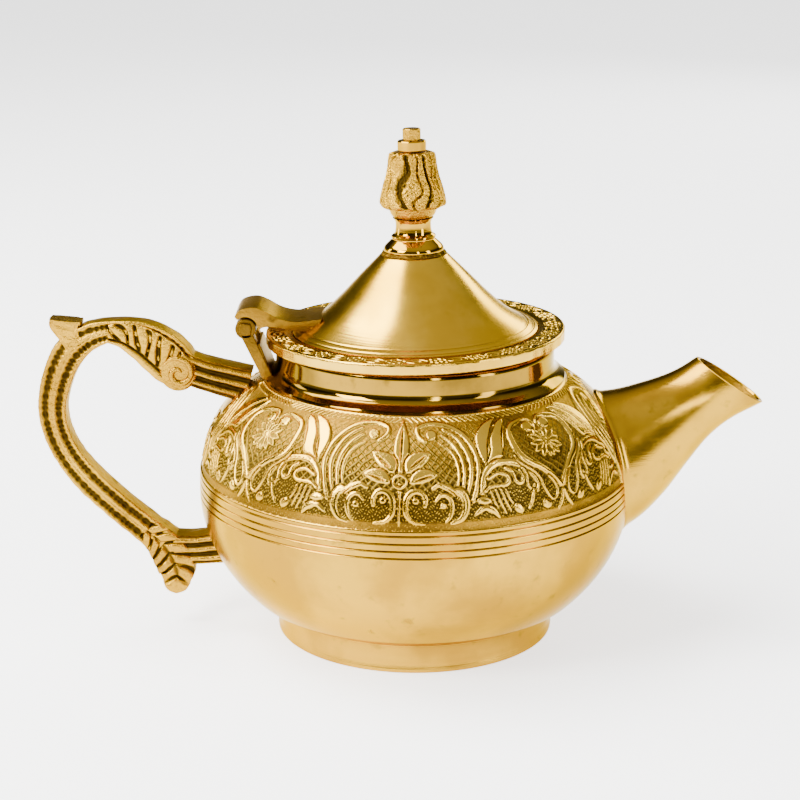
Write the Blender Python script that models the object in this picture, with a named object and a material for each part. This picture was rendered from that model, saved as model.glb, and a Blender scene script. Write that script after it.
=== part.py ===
"""Squat engraved brass coffee pot: hinged conical lid, cast scroll handle and short spout."""
import math

import bmesh
import bpy
from mathutils import Matrix, Vector
import numpy as np

# Dimensions below are in millimetres, and every mesh is scaled by MM to metres as it is made.
MM = 0.001

# Driving dimensions of the pot. Heights are measured from the floor, radii from the pot's axis.
HANDLE_REACH = 107.5        # pot axis to the back of the handle
SPOUT_REACH = 99.4          # pot axis to the tip of the spout
AXIS_X = (HANDLE_REACH - SPOUT_REACH) / 2   # puts the origin under the middle of the whole pot
GAP = 0.3                   # clearance between neighbouring pieces
WALL = 1.6                  # thickness of the spun and cast shells

BELLY_RADIUS = 62.0
BELLY_Z = 42.6              # height of the widest point
BOWL_RISE = 47.8            # semi-axis of the bowl below the belly
BOWL_POWER = 2.0
SHOULDER_RISE = 39.6        # semi-axis of the shoulder above the belly
SHOULDER_POWER = 2.5
SEAM_Z = 48.9               # where the bowl meets the shoulder
SHOULDER_TOP_Z = 75.1
LAP_HEIGHT = 1.9            # overlap of the spigot inside the seam
LAP_WALL = 0.65

FOOT_RADIUS = 40.1
FOOT_BORE = 37.9
FOOT_HEIGHT = 7.9
BOWL_BLEND_Z = 12.0         # below this the bowl turns straight in to the foot
BASE_Z = 5.2                # underside of the bowl at its centre

NECK_RADIUS = 39.5
NECK_BORE = 37.4
NECK_TOP_Z = 84.2
PLINTH_RADIUS = 42.5
SPIGOT_RADIUS = 40.1
SPIGOT_Z = 72.8

PIVOT_X = -47.5             # hinge pin, from the pot's axis
PIVOT_Z = 89.8
LID_TILT = math.radians(1.2)    # the closed lid stands slightly proud on the spout side
HINGE_WIDTH = 16.0
KNUCKLE_RADIUS = 2.9
TONGUE_WIDTH = 7.2
PIN_RADIUS = 1.1
PIN_HEAD_RADIUS = 1.9
PIN_HEAD_HEIGHT = 0.7
STRAP_HALF = 1.5            # half the thickness of the bracket's strap
STRAP_FOOT = (-41.6, 75.6)

FLANGE_RADIUS = 42.3
FLANGE_BORE = 33.4
FLANGE_Z = 84.55            # underside of the flange, lid level
FLANGE_THICKNESS = 3.15
LID_TOP_Z = FLANGE_Z + FLANGE_THICKNESS
CONE_RADIUS = 34.7
CONE_SEAT_Z = 86.2          # the cone's foot stands in a rebate in the flange
CONE_WALL = 1.2
RING_RADIUS = 36.6          # locating ring under the flange
RING_WALL = 1.2
RING_Z = 80.2

FINIAL_Z = 108.8            # top of the cone
STUD_RADIUS = 2.2
STUD_HOLE = STUD_RADIUS + GAP
TIP_RADIUS = 2.5
TIP_Z = 143.9

HANDLE_HALF = 3.65          # half the thickness of the cast handle
HANDLE_CHAMFER = 1.2

SPOUT_WALL = 1.2
POUR_HOLE_RADIUS = 1.8
POUR_HOLES = 6
POUR_RING = 8.0

BODY_STEPS = 64             # facets round the large shells
LID_STEPS = 56
FINIAL_STEPS = 32

BRASS = (0.80, 0.56, 0.22, 1.0)
OLD_BRASS = (0.55, 0.37, 0.13, 1.0)
PALE_BRASS = (0.90, 0.70, 0.36, 1.0)


# ---------------------------------------------------------------- helpers

def clear_scene():
    for item in list(bpy.data.objects):
        bpy.data.objects.remove(item, do_unlink=True)


def brass(name, color=BRASS, roughness=0.25):
    material = bpy.data.materials.new(name)
    material.use_nodes = True
    shader = material.node_tree.nodes["Principled BSDF"]
    shader.inputs["Base Color"].default_value = color
    shader.inputs["Metallic"].default_value = 1.0
    shader.inputs["Roughness"].default_value = roughness
    return material


def empty(name, location, parent=None, tilt=0.0):
    frame = bpy.data.objects.new(name, None)
    bpy.context.collection.objects.link(frame)
    frame.parent = parent
    frame.location = Vector(location) * MM
    frame.rotation_euler = (0.0, tilt, 0.0)
    return frame


def finish(bm, name, parent, material=None, origin=(0.0, 0.0, 0.0), smooth_angle=35.0):
    """Turn a millimetre bmesh into an object in metres, with its origin at the given point."""
    bmesh.ops.remove_doubles(bm, verts=bm.verts, dist=0.0005)
    bmesh.ops.recalc_face_normals(bm, faces=bm.faces)
    bmesh.ops.translate(bm, verts=bm.verts, vec=-Vector(origin))
    bmesh.ops.scale(bm, verts=bm.verts, vec=(MM, MM, MM))
    mesh = bpy.data.meshes.new(name)
    bm.to_mesh(mesh)
    bm.free()
    mesh.shade_smooth()
    mesh.set_sharp_from_angle(angle=math.radians(smooth_angle))
    piece = bpy.data.objects.new(name, mesh)
    bpy.context.collection.objects.link(piece)
    piece.parent = parent
    piece.location = Vector(origin) * MM
    if material is not None:
        piece.data.materials.append(material)
    return piece


def hide(cutter):
    cutter.hide_render = True
    cutter.display_type = "WIRE"
    return cutter


def combine(piece, other, operation):
    """Join another object to this one, or cut it away, with an exact Boolean."""
    modifier = piece.modifiers.new(other.name, "BOOLEAN")
    modifier.operation = operation
    modifier.solver = "EXACT"
    modifier.object = hide(other)


def lathe(name, outline, parent, material=None, steps=BODY_STEPS):
    """Spin a closed outline of (radius, height) points once round the Z axis."""
    bm = bmesh.new()
    verts = [bm.verts.new((radius, 0.0, height)) for radius, height in outline]
    edges = [bm.edges.new((verts[i - 1], verts[i])) for i in range(len(verts))]
    bmesh.ops.spin(bm, geom=verts + edges, cent=(0, 0, 0), axis=(0, 0, 1), dvec=(0, 0, 0),
                   angle=math.tau, steps=steps, use_merge=True)
    bmesh.ops.remove_doubles(bm, verts=bm.verts, dist=0.0005)
    bmesh.ops.dissolve_degenerate(bm, dist=0.0005, edges=bm.edges)
    return finish(bm, name, parent, material)


def loft(name, loops, parent, material=None, closed=False, origin=(0.0, 0.0, 0.0)):
    """Skin a list of equal loops of points. An open row of loops gets a cap at each end."""
    bm = bmesh.new()
    rings = [[bm.verts.new(point) for point in loop] for loop in loops]
    count = len(rings[0])
    pairs = list(zip(rings, rings[1:]))
    if closed:
        pairs.append((rings[-1], rings[0]))
    for ring, following in pairs:
        for i in range(count):
            j = (i + 1) % count
            bm.faces.new((ring[i], ring[j], following[j], following[i]))
    if not closed:
        bm.faces.new(rings[0])
        bm.faces.new(rings[-1])
    return finish(bm, name, parent, material, origin)


def prism(name, outline, low_y, high_y, parent, material=None, origin=(0.0, 0.0, 0.0)):
    """A plate with its outline of (x, z) points in the XZ plane and its thickness along Y."""
    loops = [[(x, y, z) for x, z in outline] for y in (low_y, high_y)]
    return loft(name, loops, parent, material, origin=origin)


def rod(name, radius, low_y, high_y, x, z, parent, steps=20):
    """A round bar along Y."""
    outline = arc((x, z), radius, 0.0, 360.0, steps)[:-1]
    return prism(name, outline, low_y, high_y, parent)


def arc(centre, radius, start, end, steps):
    """Points along an arc, from start to end in degrees."""
    points = []
    for angle in np.linspace(math.radians(start), math.radians(end), steps + 1):
        points.append((centre[0] + radius * math.cos(angle), centre[1] + radius * math.sin(angle)))
    return points


def smooth(knots, samples):
    """Catmull-Rom curve through rows of numbers, with the given samples in each span."""
    rows = np.array(knots, dtype=float)
    padded = np.vstack([2 * rows[0] - rows[1], rows, 2 * rows[-1] - rows[-2]])
    curve = []
    for i in range(len(rows) - 1):
        before, start, end, after = padded[i:i + 4]
        for t in np.arange(samples) / samples:
            curve.append(0.5 * (2 * start + (end - before) * t
                                + (2 * before - 5 * start + 4 * end - after) * t ** 2
                                + (3 * start - before - 3 * end + after) * t ** 3))
    curve.append(rows[-1])
    return np.array(curve)


# ---------------------------------------------------------------- pot outline

def body_radius(height, inset=0.0):
    """Radius of the bowl or shoulder at a height, for a surface inset from the outside."""
    below = height < BELLY_Z
    rise = (BOWL_RISE if below else SHOULDER_RISE) - inset
    power = BOWL_POWER if below else SHOULDER_POWER
    share = min(abs(height - BELLY_Z) / rise, 1.0) ** power
    return (BELLY_RADIUS - inset) * (1.0 - share) ** (1.0 / power)


def body_curve(low, high, count, inset=0.0):
    """Points up the bowl or shoulder. They are closest together where it curves most."""
    far = low if abs(low - BELLY_Z) > abs(high - BELLY_Z) else high
    near = high if far == low else low
    eased = np.sin(np.linspace(0.0, math.pi / 2, count))
    heights = near + (far - near) * eased
    points = [(body_radius(height, inset), height) for height in heights]
    return sorted(points, key=lambda point: point[1])


def foot_blend(inset=0.0):
    """The edge where the bowl turns in over the foot ring."""
    return (FOOT_RADIUS + 0.4, FOOT_HEIGHT + GAP + inset)


# ---------------------------------------------------------------- pot pieces

def make_lower_bowl(pot, material):
    inner = body_curve(BOWL_BLEND_Z + 1.0, SEAM_Z, 11, WALL)
    lap_top = SEAM_Z + LAP_HEIGHT
    lap_inner = body_radius(lap_top, WALL)
    outline = [(0.0, BASE_Z), (20.0, BASE_Z + 0.2), (34.6, BASE_Z + 0.8)]
    outline += [(FOOT_BORE - GAP, FOOT_HEIGHT + GAP), foot_blend()]
    outline += body_curve(BOWL_BLEND_Z, SEAM_Z - GAP / 2, 11)
    outline += [(lap_inner + LAP_WALL, SEAM_Z - GAP / 2), (lap_inner + LAP_WALL, lap_top)]
    outline += [(lap_inner, lap_top)]
    outline += inner[::-1]
    outline += [(foot_blend()[0] - 0.5, foot_blend(WALL)[1]), (36.6, FOOT_HEIGHT + WALL)]
    outline += [(33.8, BASE_Z + 0.8 + WALL), (20.0, BASE_Z + 0.2 + WALL), (0.0, BASE_Z + WALL)]
    bowl = lathe("lower_bowl", outline, pot, material)
    add_pour_holes(bowl, pot)
    return bowl


def make_upper_shoulder(pot, material):
    lap_top = SEAM_Z + LAP_HEIGHT + GAP
    rebate = body_radius(SEAM_Z + LAP_HEIGHT, WALL) + LAP_WALL + GAP
    bore = SPIGOT_RADIUS + GAP
    inner_share = 1.0 - (bore / (BELLY_RADIUS - WALL)) ** SHOULDER_POWER
    bore_z = BELLY_Z + (SHOULDER_RISE - WALL) * inner_share ** (1.0 / SHOULDER_POWER)
    outline = body_curve(SEAM_Z + GAP / 2, SHOULDER_TOP_Z, 11)
    outline += [(bore, SHOULDER_TOP_Z)]
    outline += body_curve(lap_top, bore_z, 10, WALL)[::-1]
    outline += [(rebate, lap_top), (rebate, SEAM_Z + GAP / 2)]
    shoulder = lathe("upper_shoulder", outline, pot, material)
    add_pour_holes(shoulder, pot)
    return shoulder


def add_pour_holes(shell, pot):
    """A ring of small strainer holes through the wall behind the spout."""
    for i in range(POUR_HOLES):
        angle = math.tau * (i + 0.5) / POUR_HOLES
        centre_y = POUR_RING * math.cos(angle)
        centre_z = SEAM_Z + POUR_RING * math.sin(angle)
        if (centre_z > SEAM_Z) != (shell.name == "upper_shoulder"):
            continue
        loops = []
        for x in (BELLY_RADIUS - 6.0, BELLY_RADIUS + 2.0):
            circle = arc((centre_y, centre_z), POUR_HOLE_RADIUS, 0.0, 360.0, 12)[:-1]
            loops.append([(x, y, z) for y, z in circle])
        combine(shell, loft(f"pour_hole_{i}_cutter", loops, pot), "DIFFERENCE")


def make_neck_collar(pot, material):
    bottom = SHOULDER_TOP_Z + GAP
    outline = [(PLINTH_RADIUS, bottom), (PLINTH_RADIUS - 0.1, bottom + 0.5)]
    outline += [(41.2, bottom + 1.2), (40.2, bottom + 2.1), (NECK_RADIUS + 0.1, bottom + 3.2)]
    outline += [(NECK_RADIUS, bottom + 4.4), (NECK_RADIUS, NECK_TOP_Z - 0.5)]
    outline += [(NECK_RADIUS - 0.3, NECK_TOP_Z), (NECK_BORE + 0.3, NECK_TOP_Z)]
    outline += [(NECK_BORE, NECK_TOP_Z - 0.4), (NECK_BORE, SPIGOT_Z)]
    outline += [(SPIGOT_RADIUS, SPIGOT_Z), (SPIGOT_RADIUS, bottom)]
    return lathe("neck_collar", outline, pot, material)


def make_foot_ring(pot, material):
    outline = [(FOOT_RADIUS - 0.3, 0.0), (FOOT_RADIUS, 0.4), (FOOT_RADIUS - 0.4, 2.6)]
    outline += [(FOOT_RADIUS - 0.5, 5.4), (FOOT_RADIUS - 0.1, FOOT_HEIGHT - 0.5)]
    outline += [(FOOT_RADIUS, FOOT_HEIGHT), (FOOT_BORE, FOOT_HEIGHT), (FOOT_BORE, 0.0)]
    return lathe("foot_ring", outline, pot, material)


def make_body_cutter(pot, name):
    """The outside of the pot grown by the gap, for cutting what is joined to it."""
    outside = body_curve(BOWL_BLEND_Z, SEAM_Z, 11) + body_curve(SEAM_Z, SHOULDER_TOP_Z, 11)[1:]
    bottom = SHOULDER_TOP_Z + GAP
    outside += [(PLINTH_RADIUS, bottom + 0.5), (41.2, bottom + 1.2), (40.2, bottom + 2.1)]
    outside += [(NECK_RADIUS + 0.1, bottom + 3.2), (NECK_RADIUS, NECK_TOP_Z)]
    points = np.array(outside)
    along = np.gradient(points, axis=0)
    normals = np.stack([along[:, 1], -along[:, 0]], axis=1)
    normals /= np.linalg.norm(normals, axis=1)[:, None]
    grown = points + normals * GAP
    outline = [(0.0, grown[0][1])] + [tuple(point) for point in grown] + [(0.0, grown[-1][1])]
    return hide(lathe(name, outline, pot))


# ---------------------------------------------------------------- spout

# Sections from the body to the mouth: centre x, centre z, slope of the section in degrees,
# half height along that slope, half width along Y.
SPOUT_SECTIONS = [
    (47.0, 46.0, 98.0, 20.6, 21.0),
    (57.6, 50.1, 105.0, 19.4, 19.8),
    (64.9, 54.6, 111.5, 16.6, 17.2),
    (72.0, 60.7, 119.5, 13.1, 13.6),
    (78.3, 65.8, 125.5, 10.7, 11.1),
    (83.8, 69.7, 134.0, 10.2, 9.8),
    (89.85, 73.25, 146.8, 11.4, 9.4),
]
SPOUT_FACETS = 28


def spout_loops(inset):
    loops = []
    for x, z, slope, half_height, half_width in smooth(SPOUT_SECTIONS, 3):
        up = Vector((math.cos(math.radians(slope)), 0.0, math.sin(math.radians(slope))))
        loop = []
        for angle in np.linspace(0.0, math.tau, SPOUT_FACETS, endpoint=False):
            rise = (half_height - inset) * math.cos(angle)
            side = (half_width - inset) * math.sin(angle)
            loop.append(Vector((x, 0.0, z)) + up * rise + Vector((0.0, side, 0.0)))
        loops.append(loop)
    return loops


def make_spout(pot, material, body_cutter):
    outer = spout_loops(0.0)
    inner = spout_loops(SPOUT_WALL)
    spout = loft("spout", outer + inner[::-1], pot, material, closed=True)
    combine(spout, body_cutter, "DIFFERENCE")
    return spout


# ---------------------------------------------------------------- handle

# Centre lines in the XZ plane from the pot's axis: x, z, half width of the casting there.
BOW = [
    (-66.2, 78.0, 4.6), (-70.4, 83.2, 4.5), (-76.6, 86.8, 3.6), (-84.0, 88.0, 2.9),
    (-91.6, 86.4, 3.6), (-97.7, 82.0, 4.3), (-101.4, 75.2, 4.2), (-103.6, 66.0, 3.9),
    (-102.6, 58.0, 3.7), (-99.3, 50.6, 3.7), (-94.0, 43.6, 3.9), (-86.8, 36.4, 3.9),
    (-78.6, 29.2, 4.0), (-71.8, 22.6, 4.6), (-69.3, 15.6, 4.9), (-69.6, 12.4, 3.2),
]
SPUR = [(-97.0, 84.5, 3.6), (-98.0, 88.0, 3.3), (-98.0, 90.4, 3.4)]
UPPER_TENON = [(-66.0, 79.6, 5.2), (-59.0, 75.4, 4.0), (-46.0, 71.6, 4.2)]
LOWER_TENON = [(-70.0, 22.4, 4.6), (-64.0, 22.6, 4.3), (-54.0, 23.4, 4.6)]
VOLUTE_CENTRE = (-67.2, 76.0)
VOLUTE_RADIUS = 5.2


def bar_loop(centre, across, half_width, thickness=HANDLE_HALF):
    """One eight-sided section of the casting, square to its centre line."""
    flat = max(half_width - HANDLE_CHAMFER, 0.3 * half_width)
    edge = thickness - HANDLE_CHAMFER * 0.8
    corners = [(flat, -thickness), (half_width, -edge), (half_width, edge), (flat, thickness)]
    corners += [(-flat, thickness), (-half_width, edge), (-half_width, -edge), (-flat, -thickness)]
    return [(centre[0] + across[0] * w, y, centre[1] + across[1] * w) for w, y in corners]


def bar(name, knots, pot, samples=3, thickness=HANDLE_HALF, rounded_end=False):
    """A flat bar with chamfered edges that follows a centre line of (x, z, half width)."""
    line = smooth(knots, samples)
    along = np.gradient(line[:, :2], axis=0)
    along /= np.linalg.norm(along, axis=1)[:, None]
    loops = []
    for (x, z, half_width), (dx, dz) in zip(line, along):
        loops.append(bar_loop((x, z), (-dz, dx), half_width, thickness))
    if rounded_end:
        end, direction = line[-1], along[-1]
        for angle in (35.0, 65.0):
            reach = end[2] * math.sin(math.radians(angle))
            centre = (end[0] + direction[0] * reach, end[1] + direction[1] * reach)
            half_width = end[2] * math.cos(math.radians(angle))
            loops.append(bar_loop(centre, (-direction[1], direction[0]), half_width, thickness))
    return loft(name, loops, pot)


def make_handle(pot, material, body_cutter):
    handle = bar("handle", BOW, pot, rounded_end=True)
    handle.data.materials.append(material)
    spur = bar("handle_spur_join", SPUR, pot, thickness=HANDLE_HALF - 0.15, rounded_end=True)
    upper = bar("upper_tenon_join", UPPER_TENON, pot, thickness=HANDLE_HALF + 0.5)
    lower = bar("lower_tenon_join", LOWER_TENON, pot, thickness=HANDLE_HALF + 0.35)
    curl = rod("volute_join", VOLUTE_RADIUS, -HANDLE_HALF - 0.9, HANDLE_HALF + 0.9,
               VOLUTE_CENTRE[0], VOLUTE_CENTRE[1], pot, 24)
    for joined in (spur, upper, lower, curl):
        combine(handle, joined, "UNION")
    combine(handle, body_cutter, "DIFFERENCE")
    return handle


# ---------------------------------------------------------------- hinge

def strap_outline(start):
    """Side view of the bracket's strap, from a distance below the pin down into the plinth."""
    direction = Vector((STRAP_FOOT[0] - PIVOT_X, STRAP_FOOT[1] - PIVOT_Z)).normalized()
    across = Vector((-direction.y, direction.x)) * STRAP_HALF
    top = Vector((PIVOT_X, PIVOT_Z)) + direction * start
    foot = Vector(STRAP_FOOT) + direction * 2.0
    return [tuple(top + across), tuple(top - across), tuple(foot - across * 1.2),
            tuple(foot + across * 2.2)]


def make_hinge_bracket(pot, material, body_cutter):
    half = HINGE_WIDTH / 2 - 0.1
    inner = TONGUE_WIDTH / 2 + GAP
    web_start = KNUCKLE_RADIUS + 1.0
    bracket = prism("hinge_bracket", strap_outline(web_start), -half, half, pot, material)
    for side, low, high in (("near", -half, -inner), ("far", inner, half)):
        lug = rod(f"{side}_lug_join", KNUCKLE_RADIUS, low, high, PIVOT_X, PIVOT_Z, pot)
        cheek = prism(f"{side}_cheek_join", strap_outline(0.0), low, high, pot)
        combine(bracket, lug, "UNION")
        combine(bracket, cheek, "UNION")
    pin_hole = rod("bracket_pin_cutter", PIN_RADIUS + GAP, -half - 1.0, half + 1.0,
                   PIVOT_X, PIVOT_Z, pot)
    combine(bracket, pin_hole, "DIFFERENCE")
    combine(bracket, body_cutter, "DIFFERENCE")
    return bracket


def make_hinge_pin(pot, material):
    """A plain pin, peened over at both ends."""
    shank = HINGE_WIDTH / 2 + 0.2
    loops = []
    ends = [(-shank - PIN_HEAD_HEIGHT, PIN_HEAD_RADIUS * 0.7), (-shank - 0.3, PIN_HEAD_RADIUS),
            (-shank, PIN_HEAD_RADIUS), (-shank, PIN_RADIUS)]
    for y, radius in ends + [(-y, radius) for y, radius in ends[::-1]]:
        circle = arc((0.0, 0.0), radius, 0.0, 360.0, 20)[:-1]
        loops.append([(PIVOT_X + x, y, PIVOT_Z + z) for x, z in circle])
    return loft("hinge_pin", loops, pot, material, origin=(PIVOT_X, 0.0, PIVOT_Z))


def make_lid_hinge_arm(lid, material, cone_cutter):
    """The cast arm from the cone to the pin: a wide plate over the lugs, a tongue between them."""
    notch_radius = KNUCKLE_RADIUS + 0.6
    pivot = (PIVOT_X, PIVOT_Z)
    notch = arc(pivot, notch_radius, 130.0, -8.0, 8)
    top = smooth([(-50.4, 93.4), (-49.2, 95.0), (-47.0, 95.8), (-44.4, 95.9), (-41.6, 94.7),
                  (-38.8, 93.0), (-35.6, 91.9), (-32.0, 91.6), (-26.0, 92.2)], 2)
    under = [(-43.0, 90.4), (-38.0, 90.0), (-33.2, 89.0), (-28.0, 89.0)]
    outline = notch + under + [tuple(point) for point in top[::-1]]
    half = HINGE_WIDTH / 2
    arm = prism("lid_hinge_arm", outline, -half, half, lid, material, origin=(PIVOT_X, 0.0, PIVOT_Z))
    tongue = prism("tongue_join", arc(pivot, KNUCKLE_RADIUS, 150.0, 330.0, 12) + [(-43.6, 92.0)]
                   + [(-48.0, 94.0)], -TONGUE_WIDTH / 2, TONGUE_WIDTH / 2, lid)
    combine(arm, tongue, "UNION")
    combine(arm, rod("arm_pin_cutter", PIN_RADIUS + GAP, -half, half, *pivot, lid), "DIFFERENCE")
    combine(arm, cone_cutter, "DIFFERENCE")
    return arm


# ---------------------------------------------------------------- lid pieces

# Outside of the cone above its foot, with the lid level: radius, height.
CONE_FLARE = [
    (CONE_RADIUS, LID_TOP_Z), (30.4, 89.6), (25.8, 92.6), (21.0, 97.0), (15.4, 102.8),
    (9.4, FINIAL_Z),
]


def cone_outside(grow=0.0):
    points = smooth(CONE_FLARE, 2)
    along = np.gradient(points, axis=0)
    normals = np.stack([along[:, 1], -along[:, 0]], axis=1)
    normals /= np.linalg.norm(normals, axis=1)[:, None]
    return [tuple(point) for point in points + normals * grow]


def make_lid_cone(lid, material):
    inside = cone_outside(-CONE_WALL)
    foot_z = CONE_SEAT_Z + GAP
    ceiling = FINIAL_Z - CONE_WALL
    outline = [(CONE_RADIUS, foot_z)] + cone_outside()
    outline += [(STUD_HOLE, FINIAL_Z), (STUD_HOLE, ceiling), (7.6, ceiling)]
    outline += inside[-3::-1] + [(inside[0][0], foot_z)]
    return lathe("lid_cone", outline, lid, material, LID_STEPS)


def make_lid_flange(lid, material):
    rim = FLANGE_RADIUS
    top = LID_TOP_Z
    outline = [(FLANGE_BORE, FLANGE_Z), (rim - 0.4, FLANGE_Z), (rim, FLANGE_Z + 0.4)]
    outline += [(rim, top - 0.5), (rim - 0.5, top), (rim - 1.2, top - 0.15)]
    outline += [(37.0, top - 0.35), (CONE_RADIUS + 1.4, top - 0.1), (CONE_RADIUS + GAP, top)]
    outline += [(CONE_RADIUS + GAP, CONE_SEAT_Z), (FLANGE_BORE, CONE_SEAT_Z)]
    return lathe("lid_flange", outline, lid, material, LID_STEPS)


def make_lid_locating_ring(lid, material):
    top = FLANGE_Z - GAP
    inner = RING_RADIUS - RING_WALL
    outline = [(inner, RING_Z), (RING_RADIUS - 0.3, RING_Z), (RING_RADIUS, RING_Z + 0.4)]
    outline += [(RING_RADIUS, top), (inner, top)]
    return lathe("lid_locating_ring", outline, lid, material, LID_STEPS)


def make_finial_base(lid, material):
    z = FINIAL_Z + GAP
    outline = [(STUD_HOLE, z), (9.0, z), (8.8, z + 0.8), (7.8, z + 2.0), (6.3, z + 3.4)]
    outline += [(5.7, z + 4.2), (6.2, z + 4.5), (6.2, z + 5.0), (5.3, z + 5.5)]
    outline += [(5.0, z + 6.6), (5.0, z + 8.6), (5.4, z + 9.6), (5.6, z + 10.0)]
    outline += [(STUD_HOLE, z + 10.0)]
    return lathe("finial_base", outline, lid, material, FINIAL_STEPS)


# Outside of the tulip: radius to the tops of the leaves, height, depth between the leaves.
TULIP_OUTLINE = [
    (5.7, 119.4, 0.0), (7.4, 120.1, 0.0), (8.7, 121.2, 0.0), (8.9, 122.6, 0.1),
    (8.7, 124.0, 0.5), (8.3, 126.4, 0.8), (7.7, 128.8, 0.9), (7.0, 131.2, 0.8),
    (6.6, 133.8, 0.7), (6.3, 135.9, 0.5), (5.9, 136.9, 0.4), (4.8, 137.5, 0.0),
]
TULIP_LEAVES = 8


def make_finial_tulip(lid, material):
    """A cast bud of leaves that stand above the hollows between them."""
    loops = []
    angles = np.linspace(0.0, math.tau, 4 * TULIP_LEAVES, endpoint=False)
    for radius, height, hollow in TULIP_OUTLINE:
        reach = radius - hollow * (0.5 - 0.5 * np.cos(TULIP_LEAVES * angles))
        loops.append([(r * math.cos(a), r * math.sin(a), height) for r, a in zip(reach, angles)])
    for height in (TULIP_OUTLINE[-1][1], TULIP_OUTLINE[0][1]):
        loops.append([(STUD_HOLE * math.cos(a), STUD_HOLE * math.sin(a), height) for a in angles])
    return loft("finial_tulip", loops, lid, material, closed=True)


def make_finial_collar(lid, material):
    z = TULIP_OUTLINE[-1][1] + GAP
    outline = [(STUD_HOLE, z), (3.8, z), (4.0, z + 0.3), (4.0, z + 2.5), (3.7, z + 2.8)]
    outline += [(STUD_HOLE, z + 2.8)]
    return lathe("finial_collar", outline, lid, material, FINIAL_STEPS)


def make_finial_stud(lid, material):
    """The rod that holds the finial together. Its riveted head is the tip."""
    shoulder = TULIP_OUTLINE[-1][1] + 2.8 + 2 * GAP
    outline = [(0.0, 100.6), (STUD_RADIUS - 0.3, 100.6), (STUD_RADIUS, 100.9)]
    outline += [(STUD_RADIUS, shoulder), (TIP_RADIUS, shoulder), (TIP_RADIUS, TIP_Z - 0.3)]
    outline += [(TIP_RADIUS - 0.3, TIP_Z), (0.0, TIP_Z)]
    return lathe("finial_stud", outline, lid, material, 24)


def make_finial_washer(lid, material):
    top = FINIAL_Z - CONE_WALL - GAP
    outline = [(STUD_HOLE, top - 1.0), (5.4, top - 1.0), (5.4, top), (STUD_HOLE, top)]
    return lathe("finial_washer", outline, lid, material, 24)


def make_finial_nut(lid, material):
    """A hexagonal nut inside the cone."""
    top = FINIAL_Z - CONE_WALL - 1.0 - 2 * GAP
    angles = np.linspace(0.0, math.tau, 24, endpoint=False)
    loops = []
    for radius, height in ((3.9, top - 3.2), (3.9, top), (STUD_HOLE, top), (STUD_HOLE, top - 3.2)):
        loop = []
        for angle in angles:
            fold = (angle + math.pi / 6) % (math.pi / 3) - math.pi / 6
            reach = radius if radius == STUD_HOLE else radius / math.cos(fold)
            loop.append((reach * math.cos(angle), reach * math.sin(angle), height))
        loops.append(loop)
    return loft("finial_nut", loops, lid, material, closed=True)


# ---------------------------------------------------------------- assembly

def main():
    clear_scene()
    satin = brass("satin_brass", BRASS, 0.28)
    polished = brass("polished_brass", PALE_BRASS, 0.12)
    engraved = brass("engraved_brass", BRASS, 0.35)
    cast = brass("cast_brass", OLD_BRASS, 0.42)

    pot = empty("pot_axis", (AXIS_X, 0.0, 0.0))
    hinge = empty("hinge_axis", (PIVOT_X, 0.0, PIVOT_Z), pot, -LID_TILT)
    lid = empty("lid_axis", (-PIVOT_X, 0.0, -PIVOT_Z), hinge)

    body_cutter = make_body_cutter(pot, "body_cutter")
    cone_cutter = hide(lathe("cone_cutter", [(0.0, 80.0), (CONE_RADIUS + GAP, 80.0)]
                             + cone_outside(GAP) + [(0.0, FINIAL_Z)], lid, None, LID_STEPS))

    make_lower_bowl(pot, satin)
    make_upper_shoulder(pot, engraved)
    make_neck_collar(pot, polished)
    make_foot_ring(pot, satin)
    make_spout(pot, satin, body_cutter)
    make_handle(pot, cast, body_cutter)
    make_hinge_bracket(pot, cast, body_cutter)
    make_hinge_pin(pot, cast)

    make_lid_hinge_arm(lid, cast, cone_cutter)
    make_lid_cone(lid, satin)
    make_lid_flange(lid, engraved)
    make_lid_locating_ring(lid, polished)
    make_finial_base(lid, polished)
    make_finial_tulip(lid, cast)
    make_finial_collar(lid, polished)
    make_finial_stud(lid, cast)
    make_finial_washer(lid, polished)
    make_finial_nut(lid, polished)


main()
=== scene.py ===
"""Finished look of the engraved brass coffee pot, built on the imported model."""
import math

import bmesh
import bpy
import numpy as np
from mathutils import Matrix, Vector


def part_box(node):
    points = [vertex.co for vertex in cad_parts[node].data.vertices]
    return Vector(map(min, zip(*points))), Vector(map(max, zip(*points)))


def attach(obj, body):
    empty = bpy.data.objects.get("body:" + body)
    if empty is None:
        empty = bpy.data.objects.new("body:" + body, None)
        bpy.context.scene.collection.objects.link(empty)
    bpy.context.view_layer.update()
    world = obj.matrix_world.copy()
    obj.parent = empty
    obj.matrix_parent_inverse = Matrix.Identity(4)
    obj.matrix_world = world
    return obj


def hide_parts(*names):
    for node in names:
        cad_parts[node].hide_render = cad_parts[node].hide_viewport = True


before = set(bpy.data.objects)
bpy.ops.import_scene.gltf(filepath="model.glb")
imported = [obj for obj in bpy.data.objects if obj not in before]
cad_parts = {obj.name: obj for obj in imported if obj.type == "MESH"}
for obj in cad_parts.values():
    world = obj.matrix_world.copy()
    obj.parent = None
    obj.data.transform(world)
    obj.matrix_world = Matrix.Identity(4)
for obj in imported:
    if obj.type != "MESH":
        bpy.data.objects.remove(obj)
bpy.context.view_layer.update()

# Lengths are in millimetres until a mesh is made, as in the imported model's drawing.
MM = 0.001


def corners(node):
    return [Vector(corner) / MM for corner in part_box(node)]


def centre_of(node):
    low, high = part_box(node)
    return (Vector(low) + Vector(high)) / 2 / MM


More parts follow.
